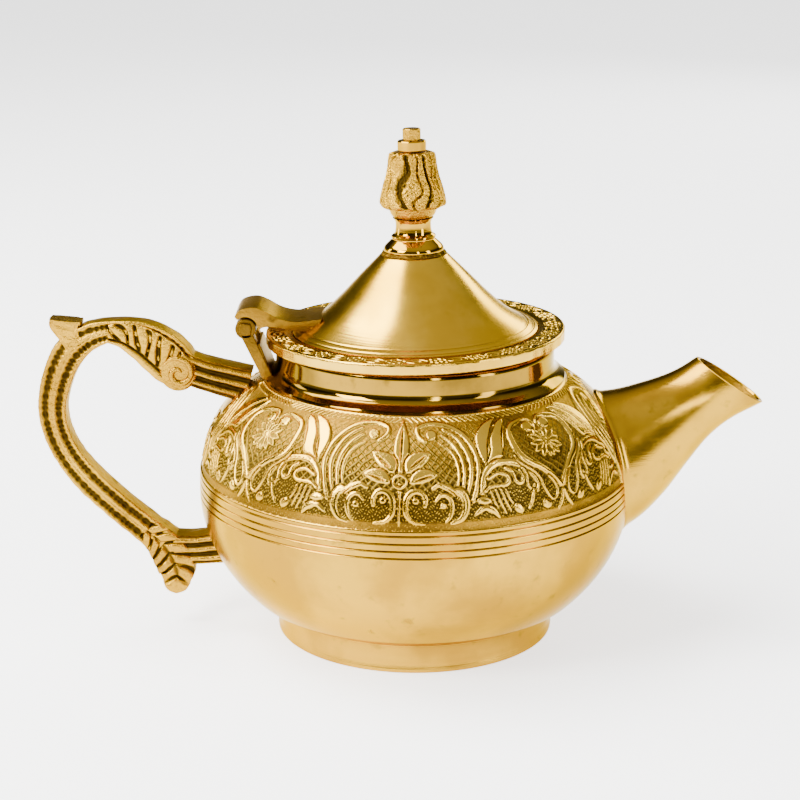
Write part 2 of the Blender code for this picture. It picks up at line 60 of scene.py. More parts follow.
# Places that come from the frame.
AXIS_X = centre_of("lower_bowl").x
BOWL_LOW, BOWL_HIGH = corners("lower_bowl")
BELLY_RADIUS = (BOWL_HIGH.x - BOWL_LOW.x) / 2
FOOT_LOW, FOOT_HIGH = corners("foot_ring")
FOOT_RADIUS = (FOOT_HIGH.x - FOOT_LOW.x) / 2
FOOT_HEIGHT = FOOT_HIGH.z
SHOULDER_LOW, SHOULDER_HIGH = corners("upper_shoulder")
NECK_TOP_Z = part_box("neck_collar")[1][2] / MM
PIN = centre_of("hinge_pin")
PIVOT = Vector((PIN.x - AXIS_X, 0.0, PIN.z))
SEAM_Z = SHOULDER_LOW.z
SHOULDER_TOP_Z = SHOULDER_HIGH.z

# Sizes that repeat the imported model's drawing.
LID_TILT = math.radians(1.2)
BELLY_Z = 42.6
BOWL_RISE = 47.8
SHOULDER_RISE = 39.6
SHOULDER_POWER = 2.5
WALL = 1.6
HANDLE_HALF = 3.65
POUR_HOLES = 6
POUR_RING = 8.0
POUR_RADIUS = 1.8


# ---- mesh helpers

def to_world(points):
    """Pot coordinates in millimetres to the frame in metres."""
    return (points + np.array([AXIS_X, 0.0, 0.0])) * MM


def lid_to_world(points):
    """Coordinates of the level lid to the closed, slightly tilted lid in the frame."""
    turn = np.array(Matrix.Rotation(-LID_TILT, 3, "Y"))
    pivot = np.array(PIVOT)
    return to_world((points - pivot) @ turn.T + pivot)


def add_grid(name, points, close_rows=False, close_columns=True, height=None):
    """A mesh object from a grid of points (rows, columns, 3) in metres."""
    rows, columns = points.shape[:2]
    index = np.arange(rows * columns).reshape(rows, columns)
    if close_rows:
        index = np.vstack([index, index[:1]])
    if close_columns:
        index = np.hstack([index, index[:, :1]])
    quads = np.stack([index[:-1, :-1], index[:-1, 1:], index[1:, 1:], index[1:, :-1]], axis=-1)
    quads = quads.reshape(-1, 4)
    mesh = bpy.data.meshes.new(name)
    mesh.vertices.add(rows * columns)
    mesh.vertices.foreach_set("co", points.reshape(-1).astype(np.float32))
    mesh.loops.add(len(quads) * 4)
    mesh.loops.foreach_set("vertex_index", quads.reshape(-1).astype(np.int32))
    mesh.polygons.add(len(quads))
    mesh.polygons.foreach_set("loop_start", np.arange(0, len(quads) * 4, 4, dtype=np.int32))
    mesh.polygons.foreach_set("loop_total", np.full(len(quads), 4, dtype=np.int32))
    mesh.update()
    mesh.validate()
    mesh.shade_smooth()
    relief = mesh.attributes.new("relief", "FLOAT", "POINT")
    values = np.ones(rows * columns) if height is None else np.asarray(height).reshape(-1)
    relief.data.foreach_set("value", values.astype(np.float32))
    piece = bpy.data.objects.new(name, mesh)
    bpy.context.collection.objects.link(piece)
    return piece


def resample(outline, spacing):
    """Points every so often along an outline, keeping its corners."""
    points = [np.array(outline[0], dtype=float)]
    for start, end in zip(outline, outline[1:]):
        start, end = np.array(start, dtype=float), np.array(end, dtype=float)
        count = max(1, int(round(np.linalg.norm(end - start) / spacing)))
        for t in np.arange(1, count + 1) / count:
            points.append(start + (end - start) * t)
    return np.array(points)


def spun(line, steps):
    """Radius, height and angle all over the surface that a line of (radius, height) sweeps."""
    turn, height = np.meshgrid(np.linspace(0.0, math.tau, steps, endpoint=False), line[:, 1])
    return np.repeat(line[:, 0][:, None], steps, axis=1), height, turn


def round_axis(radius, height, turn):
    return np.stack([radius * np.cos(turn), radius * np.sin(turn), height], axis=-1)


def lathe(name, outline, place, steps=256, spacing=0.6, edge=35.0):
    """Spin a closed outline of (radius, height) round the axis, with crisp turned edges."""
    line = resample(list(outline) + [outline[0]], spacing)[:-1]
    piece = add_grid(name, place(round_axis(*spun(line, steps))), close_rows=True)
    piece.data.set_sharp_from_angle(angle=math.radians(edge))
    return piece


def smooth(knots, samples):
    """Catmull-Rom curve through rows of numbers, with the given samples in each span."""
    rows = np.array(knots, dtype=float)
    padded = np.vstack([2 * rows[0] - rows[1], rows, 2 * rows[-1] - rows[-2]])
    curve = []
    for i in range(len(rows) - 1):
        before, start, end, after = padded[i:i + 4]
        for t in np.arange(samples) / samples:
            curve.append(0.5 * (2 * start + (end - before) * t
                                + (2 * before - 5 * start + 4 * end - after) * t ** 2
                                + (3 * start - before - 3 * end + after) * t ** 3))
    curve.append(rows[-1])
    return np.array(curve)


def step(low, high, value):
    """Smooth rise from 0 at low to 1 at high; low may be the larger of the two."""
    t = np.clip((value - low) / (high - low), 0.0, 1.0)
    return t * t * (3.0 - 2.0 * t)


# ---- materials

def brass(name, light, deep, patina_and_shade, roughness, grain=0.0, marks=0.0, tarnish=0.35,
          cavity=0.0, turned=False, pits=0.0):
    """Brass with cloudy colour, tarnish, turning marks and dark recesses, partly patina and partly
    painted shade.
    """
    material = bpy.data.materials.new(name)
    material.use_nodes = True
    nodes, links = material.node_tree.nodes, material.node_tree.links
    shader = nodes["Principled BSDF"]
    shader.inputs["Metallic"].default_value = 1.0
    shader.inputs["Specular Tint"].default_value = EDGE_GOLD
    places = nodes.new("ShaderNodeTexCoord").outputs["Object"]

    def add(kind, output, inputs, **settings):
        """Add a node; each input is a plain value or another node's output."""
        node = nodes.new("ShaderNode" + kind)
        for key, value in settings.items():
            setattr(node, key, value)
        for key, value in inputs.items():
            if isinstance(value, bpy.types.NodeSocket):
                links.new(value, node.inputs[key])
            else:
                node.inputs[key].default_value = value
        return node.outputs[output]

    def noise(scale, detail=4.0, stretch=None):
        source = places
        if stretch:
            source = add("Mapping", "Vector", {"Scale": stretch, "Vector": source})
        return add("TexNoise", "Fac", {"Scale": scale, "Detail": detail, "Vector": source})

    def ramp(value, low, high):
        return add("MapRange", "Result", {"From Min": low, "From Max": high, "Value": value},
                   interpolation_type="SMOOTHSTEP")

    def mix(factor, first, second):
        return add("Mix", "Result", {"Factor": factor, "A": first, "B": second}, data_type="RGBA")

    def scaled(value, factor, offset=0.0):
        return add("Math", "Value", {0: value, 1: factor, 2: offset}, operation="MULTIPLY_ADD")

    def added(first, second):
        return add("Math", "Value", {0: first, 1: second})

    clouds = ramp(noise(34.0, 6.0), 0.40, 0.62)
    color = mix(clouds, light, deep)
    spots = ramp(noise(210.0, 6.0), 0.60, 0.80)
    color = mix(scaled(spots, tarnish), color, patina_and_shade)
    rough = added(scaled(noise(90.0, 5.0), 0.18, roughness - 0.09), scaled(spots, 0.18 * tarnish))
    # Dark recesses: the lower the relief, the more the colour goes to the patina colour; this is
    # partly real patina and partly painted shade.
    if cavity:
        relief = add("Attribute", "Fac", {}, attribute_name="relief")
        recess = ramp(relief, 0.86, 0.22)
        color = mix(scaled(recess, cavity), color, patina_and_shade)
        rough = added(rough, scaled(recess, 0.25))
    links.new(color, shader.inputs["Base Color"])
    links.new(rough, shader.inputs["Roughness"])

    height = scaled(noise(620.0, 6.0), grain)
    if marks:
        lines = noise(900.0, 3.0, (0.03, 0.03, 4.0) if turned else (1.0, 0.2, 1.0))
        height = added(height, scaled(lines, marks))
    if pits:
        height = added(height, scaled(ramp(noise(1500.0, 4.0), 0.35, 0.6), pits))
    bump = add("Bump", "Normal", {"Strength": 1.0, "Distance": 0.001, "Height": height})
    links.new(bump, shader.inputs["Normal"])
    return material


EDGE_GOLD = (0.95, 0.80, 0.45, 1.0)
GOLD = (0.48, 0.265, 0.012, 1.0)
DEEP_GOLD = (0.33, 0.17, 0.007, 1.0)
PALE_GOLD = (0.64, 0.39, 0.035, 1.0)
OLD_GOLD = (0.20, 0.10, 0.006, 1.0)
BROWN = (0.014, 0.0075, 0.002, 1.0)
AMBER = (0.10, 0.050, 0.004, 1.0)
# The neck colours are darkened as a painted dark reflection on the polished neck.
NECK_GOLD_PAINTED_DARK = (0.26, 0.145, 0.010, 1.0)
NECK_SHADE = (0.09, 0.05, 0.005, 1.0)

SATIN = brass("satin_brass", GOLD, DEEP_GOLD, AMBER, 0.21, grain=0.012, marks=0.03, tarnish=0.5,
              turned=True)
SPUN = brass("spun_brass", PALE_GOLD, GOLD, AMBER, 0.21, grain=0.008, marks=0.04, tarnish=0.2,
             turned=True)
MIRROR = brass("polished_brass", GOLD, DEEP_GOLD, AMBER, 0.09, grain=0.004, marks=0.010,
               tarnish=0.3, turned=True)
# Painted dark reflection: the neck gets darker brass than the rest of the pot.
NECK = brass("neck_brass_painted_dark", NECK_GOLD_PAINTED_DARK, NECK_SHADE, BROWN, 0.08, grain=0.006, marks=0.012,
             tarnish=0.5, turned=True)
ENGRAVED = brass("engraved_brass", PALE_GOLD, GOLD, BROWN, 0.18, grain=0.02, tarnish=0.35,
                 cavity=0.93, pits=0.015)
CAST = brass("cast_brass", GOLD, DEEP_GOLD, BROWN, 0.26, grain=0.06, tarnish=0.75, cavity=0.92,
             pits=0.06)
AGED = brass("aged_brass", OLD_GOLD, AMBER, BROWN, 0.30, grain=0.06, tarnish=0.8, pits=0.05)
# The hinge arm's darker brass is partly tarnish and partly painted shade for its shaded sides.
TARNISHED_AND_SHADED = brass("tarnished_and_shaded_brass", DEEP_GOLD, OLD_GOLD, BROWN, 0.30, grain=0.05, tarnish=0.8, pits=0.04)
SOLDER = brass("solder", BROWN, AMBER, BROWN, 0.42, grain=0.2, tarnish=0.8, pits=0.1)
INSIDE = brass("inner_brass", DEEP_GOLD, AMBER, BROWN, 0.45, grain=0.15, tarnish=0.8, pits=0.1)


def dress(piece, material, body, *nodes):
    """Give a piece its material, its body and the CAD nodes that it stands for."""
    piece.data.materials.clear()
    piece.data.materials.append(material)
    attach(piece, body)
    if nodes:
        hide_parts(*nodes)


# ---- body of the pot

def shoulder_radius(height):
    share = np.clip(np.abs(height - BELLY_Z) / SHOULDER_RISE, 0.0, 1.0) ** SHOULDER_POWER
    return BELLY_RADIUS * (1.0 - share) ** (1.0 / SHOULDER_POWER)


def bowl_radius(height):
    return BELLY_RADIUS * np.sqrt(1.0 - (np.abs(height - BELLY_Z) / BOWL_RISE) ** 2)


def body_radius(height):
    """Radius of the body's smooth outside, below and above its widest place."""
    low = np.clip(height, LOWEST_Z, BELLY_Z)
    return np.where(height < BELLY_Z, bowl_radius(low), shoulder_radius(height))


def depth_outside(points):
    """How far points lie outside the body's smooth surface; below zero is inside it."""
    return np.hypot(points[..., 0], points[..., 1]) - body_radius(points[..., 2])


LOWEST_Z = 6.0
BASE_Z = 12.0
GROOVED_Z = 40.0
GROOVES = (47.9, 45.75, 43.75, 41.8)
GROOVE_WIDTH = 0.17
GROOVE_DEPTH = 0.30
SEAM_GAP = 0.15
LAP_HEIGHT = 1.8
LAP_THICKNESS = 0.65


def make_bowl():
    """The plain bowl, with turned grooves under its seam and a lap inside the shoulder."""
    outer = []
    plain = np.arange(BASE_Z, GROOVED_Z, 0.4)
    grooved = np.arange(GROOVED_Z, SEAM_Z - SEAM_GAP, 0.12)
    for height in np.concatenate([plain, grooved]):
        groove = sum(math.exp(-((height - level) / GROOVE_WIDTH) ** 2) for level in GROOVES)
        outer.append((body_radius(height) - GROOVE_DEPTH * groove, height))
    top = SEAM_Z + LAP_HEIGHT
    lap = shoulder_radius(top) - WALL
    outer += [(lap + LAP_THICKNESS, SEAM_Z - SEAM_GAP), (lap + LAP_THICKNESS, top), (lap, top)]
    inner = []
    for height in np.linspace(SEAM_Z, BASE_Z + 1.5, 30):
        inner.append((body_radius(height) - WALL, height))
    base = [(40.0, FOOT_HEIGHT + 1.9), (36.6, FOOT_HEIGHT + 1.6), (33.8, 7.6), (20.0, 7.0)]
    base += [(0.01, 6.8), (0.01, 5.2), (20.0, 5.4), (34.6, 6.0), (37.6, FOOT_HEIGHT + 0.3)]
    base += [(FOOT_RADIUS + 0.3, FOOT_HEIGHT + 0.3), (FOOT_RADIUS + 1.6, FOOT_HEIGHT + 0.9)]
    bowl = lathe("pot_bowl", outer + inner + base, to_world, steps=320, spacing=1.6, edge=50.0)
    pierce(bowl, False)
    dress(bowl, SATIN, "pot", "lower_bowl")


def make_foot():
    edge = FOOT_RADIUS
    outline = [(edge - 0.35, 0.0), (edge - 0.05, 0.15), (edge, 0.6), (edge - 0.35, 2.2),
               (edge - 0.5, 5.0), (edge - 0.35, 6.6), (edge - 0.1, FOOT_HEIGHT - 0.25),
               (edge + 0.1, FOOT_HEIGHT), (edge + 0.1, FOOT_HEIGHT + 0.25),
               (37.9, FOOT_HEIGHT + 0.2), (37.9, 0.3), (38.2, 0.0)]
    foot = lathe("pot_foot", outline, to_world, steps=320, spacing=0.5)
    dress(foot, SATIN, "pot", "foot_ring")


def make_neck():
    z, top = SHOULDER_TOP_Z, NECK_TOP_Z
    outline = [(42.6, z + 0.05), (42.75, z + 0.35), (42.6, z + 0.75), (41.9, z + 1.15),
               (41.0, z + 1.7), (40.3, z + 2.3), (39.8, z + 3.1), (39.55, z + 4.2),
               (39.5, z + 6.0), (39.5, top - 0.6), (39.3, top - 0.1), (39.0, top), (37.7, top),
               (37.4, top - 0.4), (37.4, 72.8), (40.1, 72.8), (40.1, z + 0.05)]
    neck = lathe("pot_neck", outline, to_world, steps=384, spacing=0.4, edge=30.0)
    dress(neck, NECK, "pot", "neck_collar")


# ---- engraved band

# The pattern repeats every 90 degrees and is mirrored about each palmette. Strokes are drawn
# on one half: degrees round from the palmette, share of the band's height, and then half widths
# at the start, middle and end. One degree is about one millimetre round the band.
BAND_HEIGHT = 34.0
BAND_DEPTH = 0.9
BAND_ROWS = 165
TURN_STEPS = 2400
TILE_STEPS = TURN_STEPS // 8
TURN_OFFSET = 29
BLOSSOM_X, BLOSSOM_Y = 45.0, .62
NECK_BORDER = 0.915

PALMETTE = [
    ([(0, .46), (0, .68), (0, .93)], (.5, 1.85, .5)),
    ([(1.8, .47), (3.9, .555), (7.9, .62)], (.4, 1.85, .5)),
    ([(2.7, .385), (5.8, .435), (9.4, .445)], (.4, 1.55, .4)),
]
SCROLLS = [
    ([(18.6, .22), (20.1, .34), (21.3, .47), (21.4, .585), (20.7, .68), (18.7, .785), (16, .86),
      (12.9, .9), (9.5, .915), (6.6, .90), (4.6, .86), (4.9, .79), (6.9, .735)], (.5, .8, .6)),
    ([(17.2, .27), (18.7, .395), (19.4, .51), (19.0, .605), (17.7, .71), (15.6, .79),
      (12.9, .845)], (.4, .72, .5)),
    ([(16.2, .31), (17.1, .434), (17.2, .51), (16.8, .595), (15.4, .69), (13.3, .76),
      (11.8, .79)], (.4, .66, .4)),
    ([(14.9, .34), (15.6, .434), (15.5, .54), (14.6, .613), (13.1, .67), (10.9, .715)],
     (.3, .5, .3)),
    ([(8.4, .335), (10.2, .36), (12.4, .335), (13.7, .30), (15.4, .30), (16.6, .25), (16.7, .17),
      (15.4, .09), (13, .06)], (.4, .95, .5)),
    ([(9.2, .24), (10.2, .275), (11.6, .28), (12.9, .245), (13.2, .18), (12.6, .11),
      (11.5, .07)], (.4, .6, .3)),
    ([(6.4, .2), (6.6, .26), (5.4, .31), (3.4, .31), (2.0, .27), (1.5, .2), (1.9, .13),
      (3.6, .075), (6.2, .06)], (.5, .75, .4)),
    ([(0, .36), (0, .2), (0, .05)], (.6, .35, .3)),
]
LILY = [
    ([(23.8, .50), (24.0, .62), (24.7, .73), (27.0, .82), (30, .885)], (.6, 1.9, 1.0)),
    ([(25.2, .515), (27.6, .59), (29.1, .71), (31.4, .82), (33.6, .89)], (.9, 1.75, .6)),
]
ACANTHUS = [
    ([(21.4, .27), (22.2, .39), (24.2, .468), (27, .505), (30.5, .5), (33.2, .468), (35.3, .415),
      (36.8, .35), (37.2, .29), (36.6, .235)], (.7, .8, .4)),
    ([(23.3, .385), (26.2, .42), (28.6, .4), (29.1, .352), (27.6, .32), (24.4, .325),
      (22.2, .29)], (.4, .52, .4)),
    ([(28.9, .452), (30.5, .42), (31, .345), (32.2, .318), (33.3, .35), (32.9, .42)],
     (.5, .5, .4)),
    ([(33.9, .43), (34.5, .37), (34.3, .295), (35.4, .255), (36.2, .29)], (.5, .42, .3)),
    ([(23.5, .285), (24.4, .19), (25.6, .10)], (.3, .36, .25)),
    ([(24.9, .29), (25.8, .2), (27.1, .10)], (.3, .36, .25)),
    ([(26.3, .29), (27.1, .21), (28.4, .12)], (.3, .36, .25)),
    ([(27.7, .285), (28.3, .22), (29.4, .16)], (.3, .36, .25)),
    ([(35.7, .25), (34.8, .17), (33.6, .11)], (.3, .45, .3)),
    ([(19.2, .12), (21.6, .165), (24, .13), (25.2, .075)], (.4, .8, .3)),
    ([(20.3, .225), (22.8, .215)], (.6, .9, .6)), ([(30.2, .15), (31.3, .105)], (.6, 1.0, .6)),
]
HEART = [
    ([(43.4, .745), (44, .80), (41.9, .852), (38.4, .842), (35.6, .812), (34, .755), (33.6, .68),
      (33.9, .594), (35, .52), (37.1, .462), (39.1, .425), (41.5, .36), (43.9, .275),
      (45.2, .21)], (.5, .85, .6)),
    ([(32.6, .54), (33.2, .49), (34.9, .443), (36.8, .396), (38.2, .34), (39.1, .245),
      (40.7, .155), (42.2, .155), (43.0, .21), (42.5, .275), (41.2, .33)], (.25, .38, .3)),
    ([(44.8, .2), (43.9, .12), (42.6, .06)], (.4, .5, .3)),
    ([(38.6, .14), (39.6, .10)], (.6, 1.0, .5)), ([(41, .78), (42, .775)], (1.3, 1.4, 1.3)),
]
# Petals: direction in degrees and length.
BLOSSOM = [(180, 5.2), (152, 5.6), (122, 4.4), (90, 3.6), (207, 5.4), (235, 5.0), (262, 4.6)]
# Cuts along the middle of leaves, with one half width.
SLITS = [
    ([(0, .56), (0, .84)], .34), ([(3.0, .505), (6.7, .595)], .34),
    ([(4.0, .395), (8.4, .435)], .28),
    ([(24.3, .545), (25.4, .66), (27.2, .75), (29.8, .835)], .34),
    ([(29.5, .62), (31.2, .75), (33.4, .84)], .2), ([(12.4, .33), (14.6, .26), (14.9, .15)], .2),
    ([(8.6, .735), (11.2, .75), (11.3, .84), (8.4, .845)], .22),
]
# Centre, radius and half width.
RINGS = [(0, .39, 1.75, .5), (8.9, .795, .5, 1.3), (4.1, .24, .2, .8), (11, .2, .2, .8)]


def stroke_reach(x, y, points, widths, swell=1.3):
    """How far inside a tapering stroke a place is, in millimetres; negative outside it."""
    line = smooth([(px, py * BAND_HEIGHT) for px, py in points], 5)
    along = np.linspace(0.0, 1.0, len(line))
    start, middle, end = widths
    half = np.where(along < 0.5, start, end)
    half = (half + (middle - half) * np.sin(along * math.pi)) * swell
    reach = np.full(x.shape, -1e3)
    for (ax, ay), (bx, by), wide, next_wide in zip(line, line[1:], half, half[1:]):
        dx, dy = bx - ax, by - ay
        t = np.clip(((x - ax) * dx + (y - ay) * dy) / (dx * dx + dy * dy + 1e-9), 0.0, 1.0)
        gap = np.hypot(x - ax - t * dx, y - ay - t * dy)
        reach = np.maximum(reach, wide + (next_wide - wide) * t - gap)
    return reach


def dome(inside, full=0.9):
    """Cross-section of chased work: a quick rise and a rounded back."""
    rounded = 1.0 - (1.0 - np.clip(inside / full, 0.0, 1.0)) ** 2
    return step(-0.14, 0.16, inside) * (0.55 + 0.45 * rounded)


def lay_over(raised, inside, moat, height):
    """Add a stroke to the raised work, with a narrow cut where it crosses older strokes."""
    cut = 0.75 * step(-moat, -0.1, inside) * step(0.3, -0.05, inside)
    return np.maximum(raised * (1.0 - cut), height)


def lattice(x, y, pitch, sharp):
    first = np.abs(np.sin(math.pi * (x + y) / pitch))
    second = np.abs(np.sin(math.pi * (x - y) / pitch))
    return np.maximum(first ** sharp, second ** sharp * 0.9)


def band_tile():
    """Height of the engraving on half a pattern: 0 in the recesses, 1 on the raised work."""
    x, share = np.meshgrid(np.linspace(0.0, 45.0, TILE_STEPS + 1),
                           np.linspace(0.0, 1.0, BAND_ROWS))
    y = share * BAND_HEIGHT
    from_blossom = np.hypot(x - BLOSSOM_X, (share - BLOSSOM_Y) * BAND_HEIGHT)
    # The ground: crossed lines, slanting cuts under the neck and punch marks near the seam.
    punched = np.sin(x * 4.9 + 1.3 * np.sin(y * 1.9)) * np.sin(y * 5.1 + 1.7 * np.sin(x * 2.3))
    sway_x, sway_y = x + 0.16 * np.sin(y * 1.3), y * 0.92 + 0.16 * np.sin(x * 1.7)
    ground = 0.02 + 0.46 * lattice(sway_x, sway_y, 2.3, 4)
    low = step(0.36, 0.28, share)
    ground = ground * (1.0 - low) + low * (0.10 + 0.46 * step(-0.1, 0.7, punched))
    blossom = step(6.2, 5.2, from_blossom)
    ground = ground * (1.0 - blossom) + blossom * (0.05 + 0.3 * np.abs(np.sin(x * 2.6 + y)) ** 4)
    slanted = np.abs(np.sin(x * 1.55 + y * 1.9)) ** 1.5
    ground = np.where(share > NECK_BORDER, 0.15 + 0.6 * slanted, ground)
    raised = np.zeros(x.shape)
    for group, level in ((PALMETTE, 1.0), (SCROLLS, 0.95), (LILY, 1.0), (ACANTHUS, 0.92),
                         (HEART, 1.0)):
        for points, widths in group:
            inside = stroke_reach(x, y, points, widths)
            raised = lay_over(raised, inside, 0.55, level * dome(inside))
    for cx, cy, radius, half in RINGS:
        inside = half - np.abs(np.hypot(x - cx, y - cy * BAND_HEIGHT) - radius)
        raised = lay_over(raised, inside, 0.4, 0.95 * dome(inside, 0.6))
    heart = np.array([BLOSSOM_X, BLOSSOM_Y])
    for angle, length in BLOSSOM:
        angle = math.radians(angle)
        way = np.array([math.cos(angle), math.sin(angle) / BAND_HEIGHT])
        root, tip = heart + 1.1 * way, heart + length * way
        inside = stroke_reach(x, y, [root, (root + tip) / 2, tip], (.35, .85, .3))
        groove = step(0.22, -0.05, 0.62 - inside) * 0.45
        raised = np.maximum(raised, 0.85 * dome(inside, 0.5) * (1.0 - groove))
    raised = np.maximum(raised, dome(1.0 - from_blossom))
    for points, half in SLITS:
        inside = stroke_reach(x, y, points, (half * .5, half, half * .5), 1.0)
        raised = raised * (1.0 - 0.7 * step(-0.12, 0.2, inside))
    surface = np.maximum(raised, ground)
    rim = np.maximum(step(0.014, 0.005, share), step(0.965, 0.978, share))
    return np.maximum(surface, rim * 0.95)


def ground_smooth(points):
    """How far the engraving is dressed away round the spout and the handle's joints."""
    x, y, z = points[..., 0], points[..., 1], points[..., 2]
    spout = np.hypot(y, z - 50.0) - 21.6
    near_spout = (x > 0) * step(2.6, 0.0, spout)
    tenon = (x < 0) * step(3.2, 0.6, np.maximum(np.abs(y) - 5.2, np.abs(z - 72.0) - 5.5))
    return np.maximum(near_spout, tenon)


def band_grid():
    """Points, outward directions and relief of the whole engraved band."""
    heights = np.linspace(SEAM_Z, SHOULDER_TOP_Z, 900)
    radii = shoulder_radius(heights)
    length = np.concatenate([[0.0], np.cumsum(np.hypot(np.diff(heights), np.diff(radii)))])
    share = np.linspace(0.0, 1.0, BAND_ROWS)
    z = np.interp(share * length[-1], length, heights)
    r = np.interp(share * length[-1], length, radii)
    size = np.hypot(np.gradient(r), np.gradient(z))
    normal_r, normal_z = np.gradient(z) / size, -np.gradient(r) / size
    place = (np.arange(TURN_STEPS + 1) + TURN_OFFSET) % (2 * TILE_STEPS)
    place = np.minimum(place, 2 * TILE_STEPS - place)
    relief = band_tile()[:, place]
    angle = np.linspace(0.0, math.tau, TURN_STEPS + 1)[None, :] - math.pi / 2

    def swept(radial, upward):
        upward = np.repeat(upward[:, None], TURN_STEPS + 1, axis=1)
        return round_axis(radial[:, None], upward, angle)

    flat = swept(r, z)
    plain = ground_smooth(flat)
    relief = relief * (1.0 - plain) + 0.9 * plain
    out = swept(normal_r, normal_z)
    points = flat + out * (BAND_DEPTH * (relief - 1.0))[..., None]
    around = np.gradient(points, axis=1)
    around[:, 0] = around[:, -1] = (points[:, 1] - points[:, -2]) / 2
    normals = np.cross(around, np.gradient(points, axis=0))
    normals /= np.linalg.norm(normals, axis=-1)[..., None]
    return points, normals, relief


def pour_holes(above):
    """Centres (y, z) of the strainer holes above or below the seam, behind the spout."""
    centres = []
    for k in range(POUR_HOLES):
        angle = math.tau * (k + 0.5) / POUR_HOLES
        y, z = POUR_RING * math.cos(angle), SEAM_Z + POUR_RING * math.sin(angle)
        if (z > SEAM_Z) == above:
            centres.append((y, z))
    return centres


def open_holes(piece):
    """Leave the strainer holes out of the finely divided outside skin."""
    bm = bmesh.new()
    bm.from_mesh(piece.data)
    inside = []
    for vert in bm.verts:
        x, y, z = vert.co / MM
        if x > 50.0 and any(math.hypot(y - cy, z - cz) < POUR_RADIUS + 0.1
                            for cy, cz in pour_holes(True)):
            inside.append(vert)
    if inside:
        bmesh.ops.delete(bm, geom=inside, context="VERTS")
        bm.to_mesh(piece.data)
    bm.free()


def pierce(piece, above):
    """Bore the strainer holes through a closed shell."""
    for k, (y, z) in enumerate(pour_holes(above)):
        outline = [(0.01, 0.0), (POUR_RADIUS, 0.0), (POUR_RADIUS, 10.0), (0.01, 10.0)]
        cutter = lathe(f"bore_{k}", outline, lambda points: points * MM, steps=32, spacing=20.0)
        turn = Matrix.Rotation(math.pi / 2, 4, "Y")
        cutter.data.transform(Matrix.Translation(Vector((AXIS_X + 55.0, y, z)) * MM) @ turn)
        cut = piece.modifiers.new("cut", "BOOLEAN")
        cut.solver, cut.operation, cut.object = "EXACT", "DIFFERENCE", cutter
        bpy.context.view_layer.update()
        bored = piece.evaluated_get(bpy.context.evaluated_depsgraph_get())
        mesh = bpy.data.meshes.new_from_object(bored)
        piece.modifiers.clear()
        piece.data = mesh
        bpy.data.objects.remove(cutter)


def make_shoulder():
    """The engraved skin in four quarters, to keep each mesh small, and its lining."""
    points, normals, relief = band_grid()
    quarter = TURN_STEPS // 4
    for k in range(4):
        part = slice(k * quarter, (k + 1) * quarter + 1)
        piece = add_grid(f"engraved_band_{k + 1}", to_world(points[:, part]), close_columns=False,
                         height=relief[:, part])
        piece.data.normals_split_custom_set_from_vertices(normals[:, part].reshape(-1, 3).tolist())
        open_holes(piece)
        dress(piece, ENGRAVED, "pot", "upper_shoulder")
    levels = np.linspace(SEAM_Z + 2.2, SHOULDER_TOP_Z - 1.2, 24)
    outline = [(shoulder_radius(z) - WALL, z) for z in levels[::-1]]
    outline += [(61.1, SEAM_Z + 2.2), (61.1, SEAM_Z), (61.35, SEAM_Z), (60.9, SEAM_Z + 2.0)]
    outline += [(shoulder_radius(z) - 1.0, z) for z in levels[1:]]
    outline += [(shoulder_radius(SHOULDER_TOP_Z) - 0.3, SHOULDER_TOP_Z - 0.02)]
    outline += [(40.4, SHOULDER_TOP_Z - 0.02)]
    lining = lathe("shoulder_inside", outline, to_world, steps=256, spacing=1.2)
    pierce(lining, True)
    dress(lining, INSIDE, "pot", "upper_shoulder")


# ---- spout

# Centre (x, z), slope of the section in degrees, half height and half width.
SPOUT_SECTIONS = [
    (47.0, 46.0, 98.0, 20.6, 21.0), (57.6, 50.1, 105.0, 19.4, 19.8),
    (64.9, 54.6, 111.5, 16.6, 17.2), (72.0, 60.7, 119.5, 13.1, 13.6),
    (78.3, 65.8, 125.5, 10.7, 11.1), (83.8, 69.7, 134.0, 10.2, 9.8),
    (89.85, 73.25, 146.8, 11.4, 9.4),
]
SPOUT_WALL = 1.1
SPOUT_ROOT = (57.6, 0.0, 50.1)
FILLET_HEIGHT = 0.9
FILLET_REACH = 0.8
LIP_SLOPE = math.radians(56.8)
LIP_CROWN = 0.15


def spout_surface(inset, columns=160, samples=14):
    rings = []
    for x, z, slope, half_height, half_width in smooth(SPOUT_SECTIONS, samples):
        angle = np.linspace(0.0, math.tau, columns, endpoint=False)
        rise = (half_height - inset) * np.cos(angle)
        side = (half_width - inset) * np.sin(angle)
        slope = math.radians(slope)
        ring = np.stack([x + math.cos(slope) * rise, side, z + math.sin(slope) * rise], axis=-1)
        rings.append(ring)
    return np.array(rings)


def cut_to_body(rings):
    """Start each line along the spout halfway through the body's wall."""
    gap = depth_outside(rings) + WALL / 2
    places = np.arange(len(rings))
    cut = np.empty_like(rings)
    for column in range(rings.shape[1]):
        last_inside = np.flatnonzero(gap[:, column] < 0.0)[-1]
        low, high = gap[last_inside, column], gap[last_inside + 1, column]
        wanted = np.linspace(last_inside - low / (high - low), places[-1], len(rings))
        for axis in range(3):
            cut[:, column, axis] = np.interp(wanted, places, rings[:, column, axis])
    return cut


def spread_base(points):
    """The soldered fillet where the spout meets the body."""
    flare = FILLET_HEIGHT * np.exp(-np.clip(depth_outside(points), 0.0, None) / FILLET_REACH)
    away = points - np.array(SPOUT_ROOT)
    away[..., 0] *= 0.3
    away /= np.linalg.norm(away, axis=-1)[..., None] + 1e-9
    return points + away * flare[..., None]


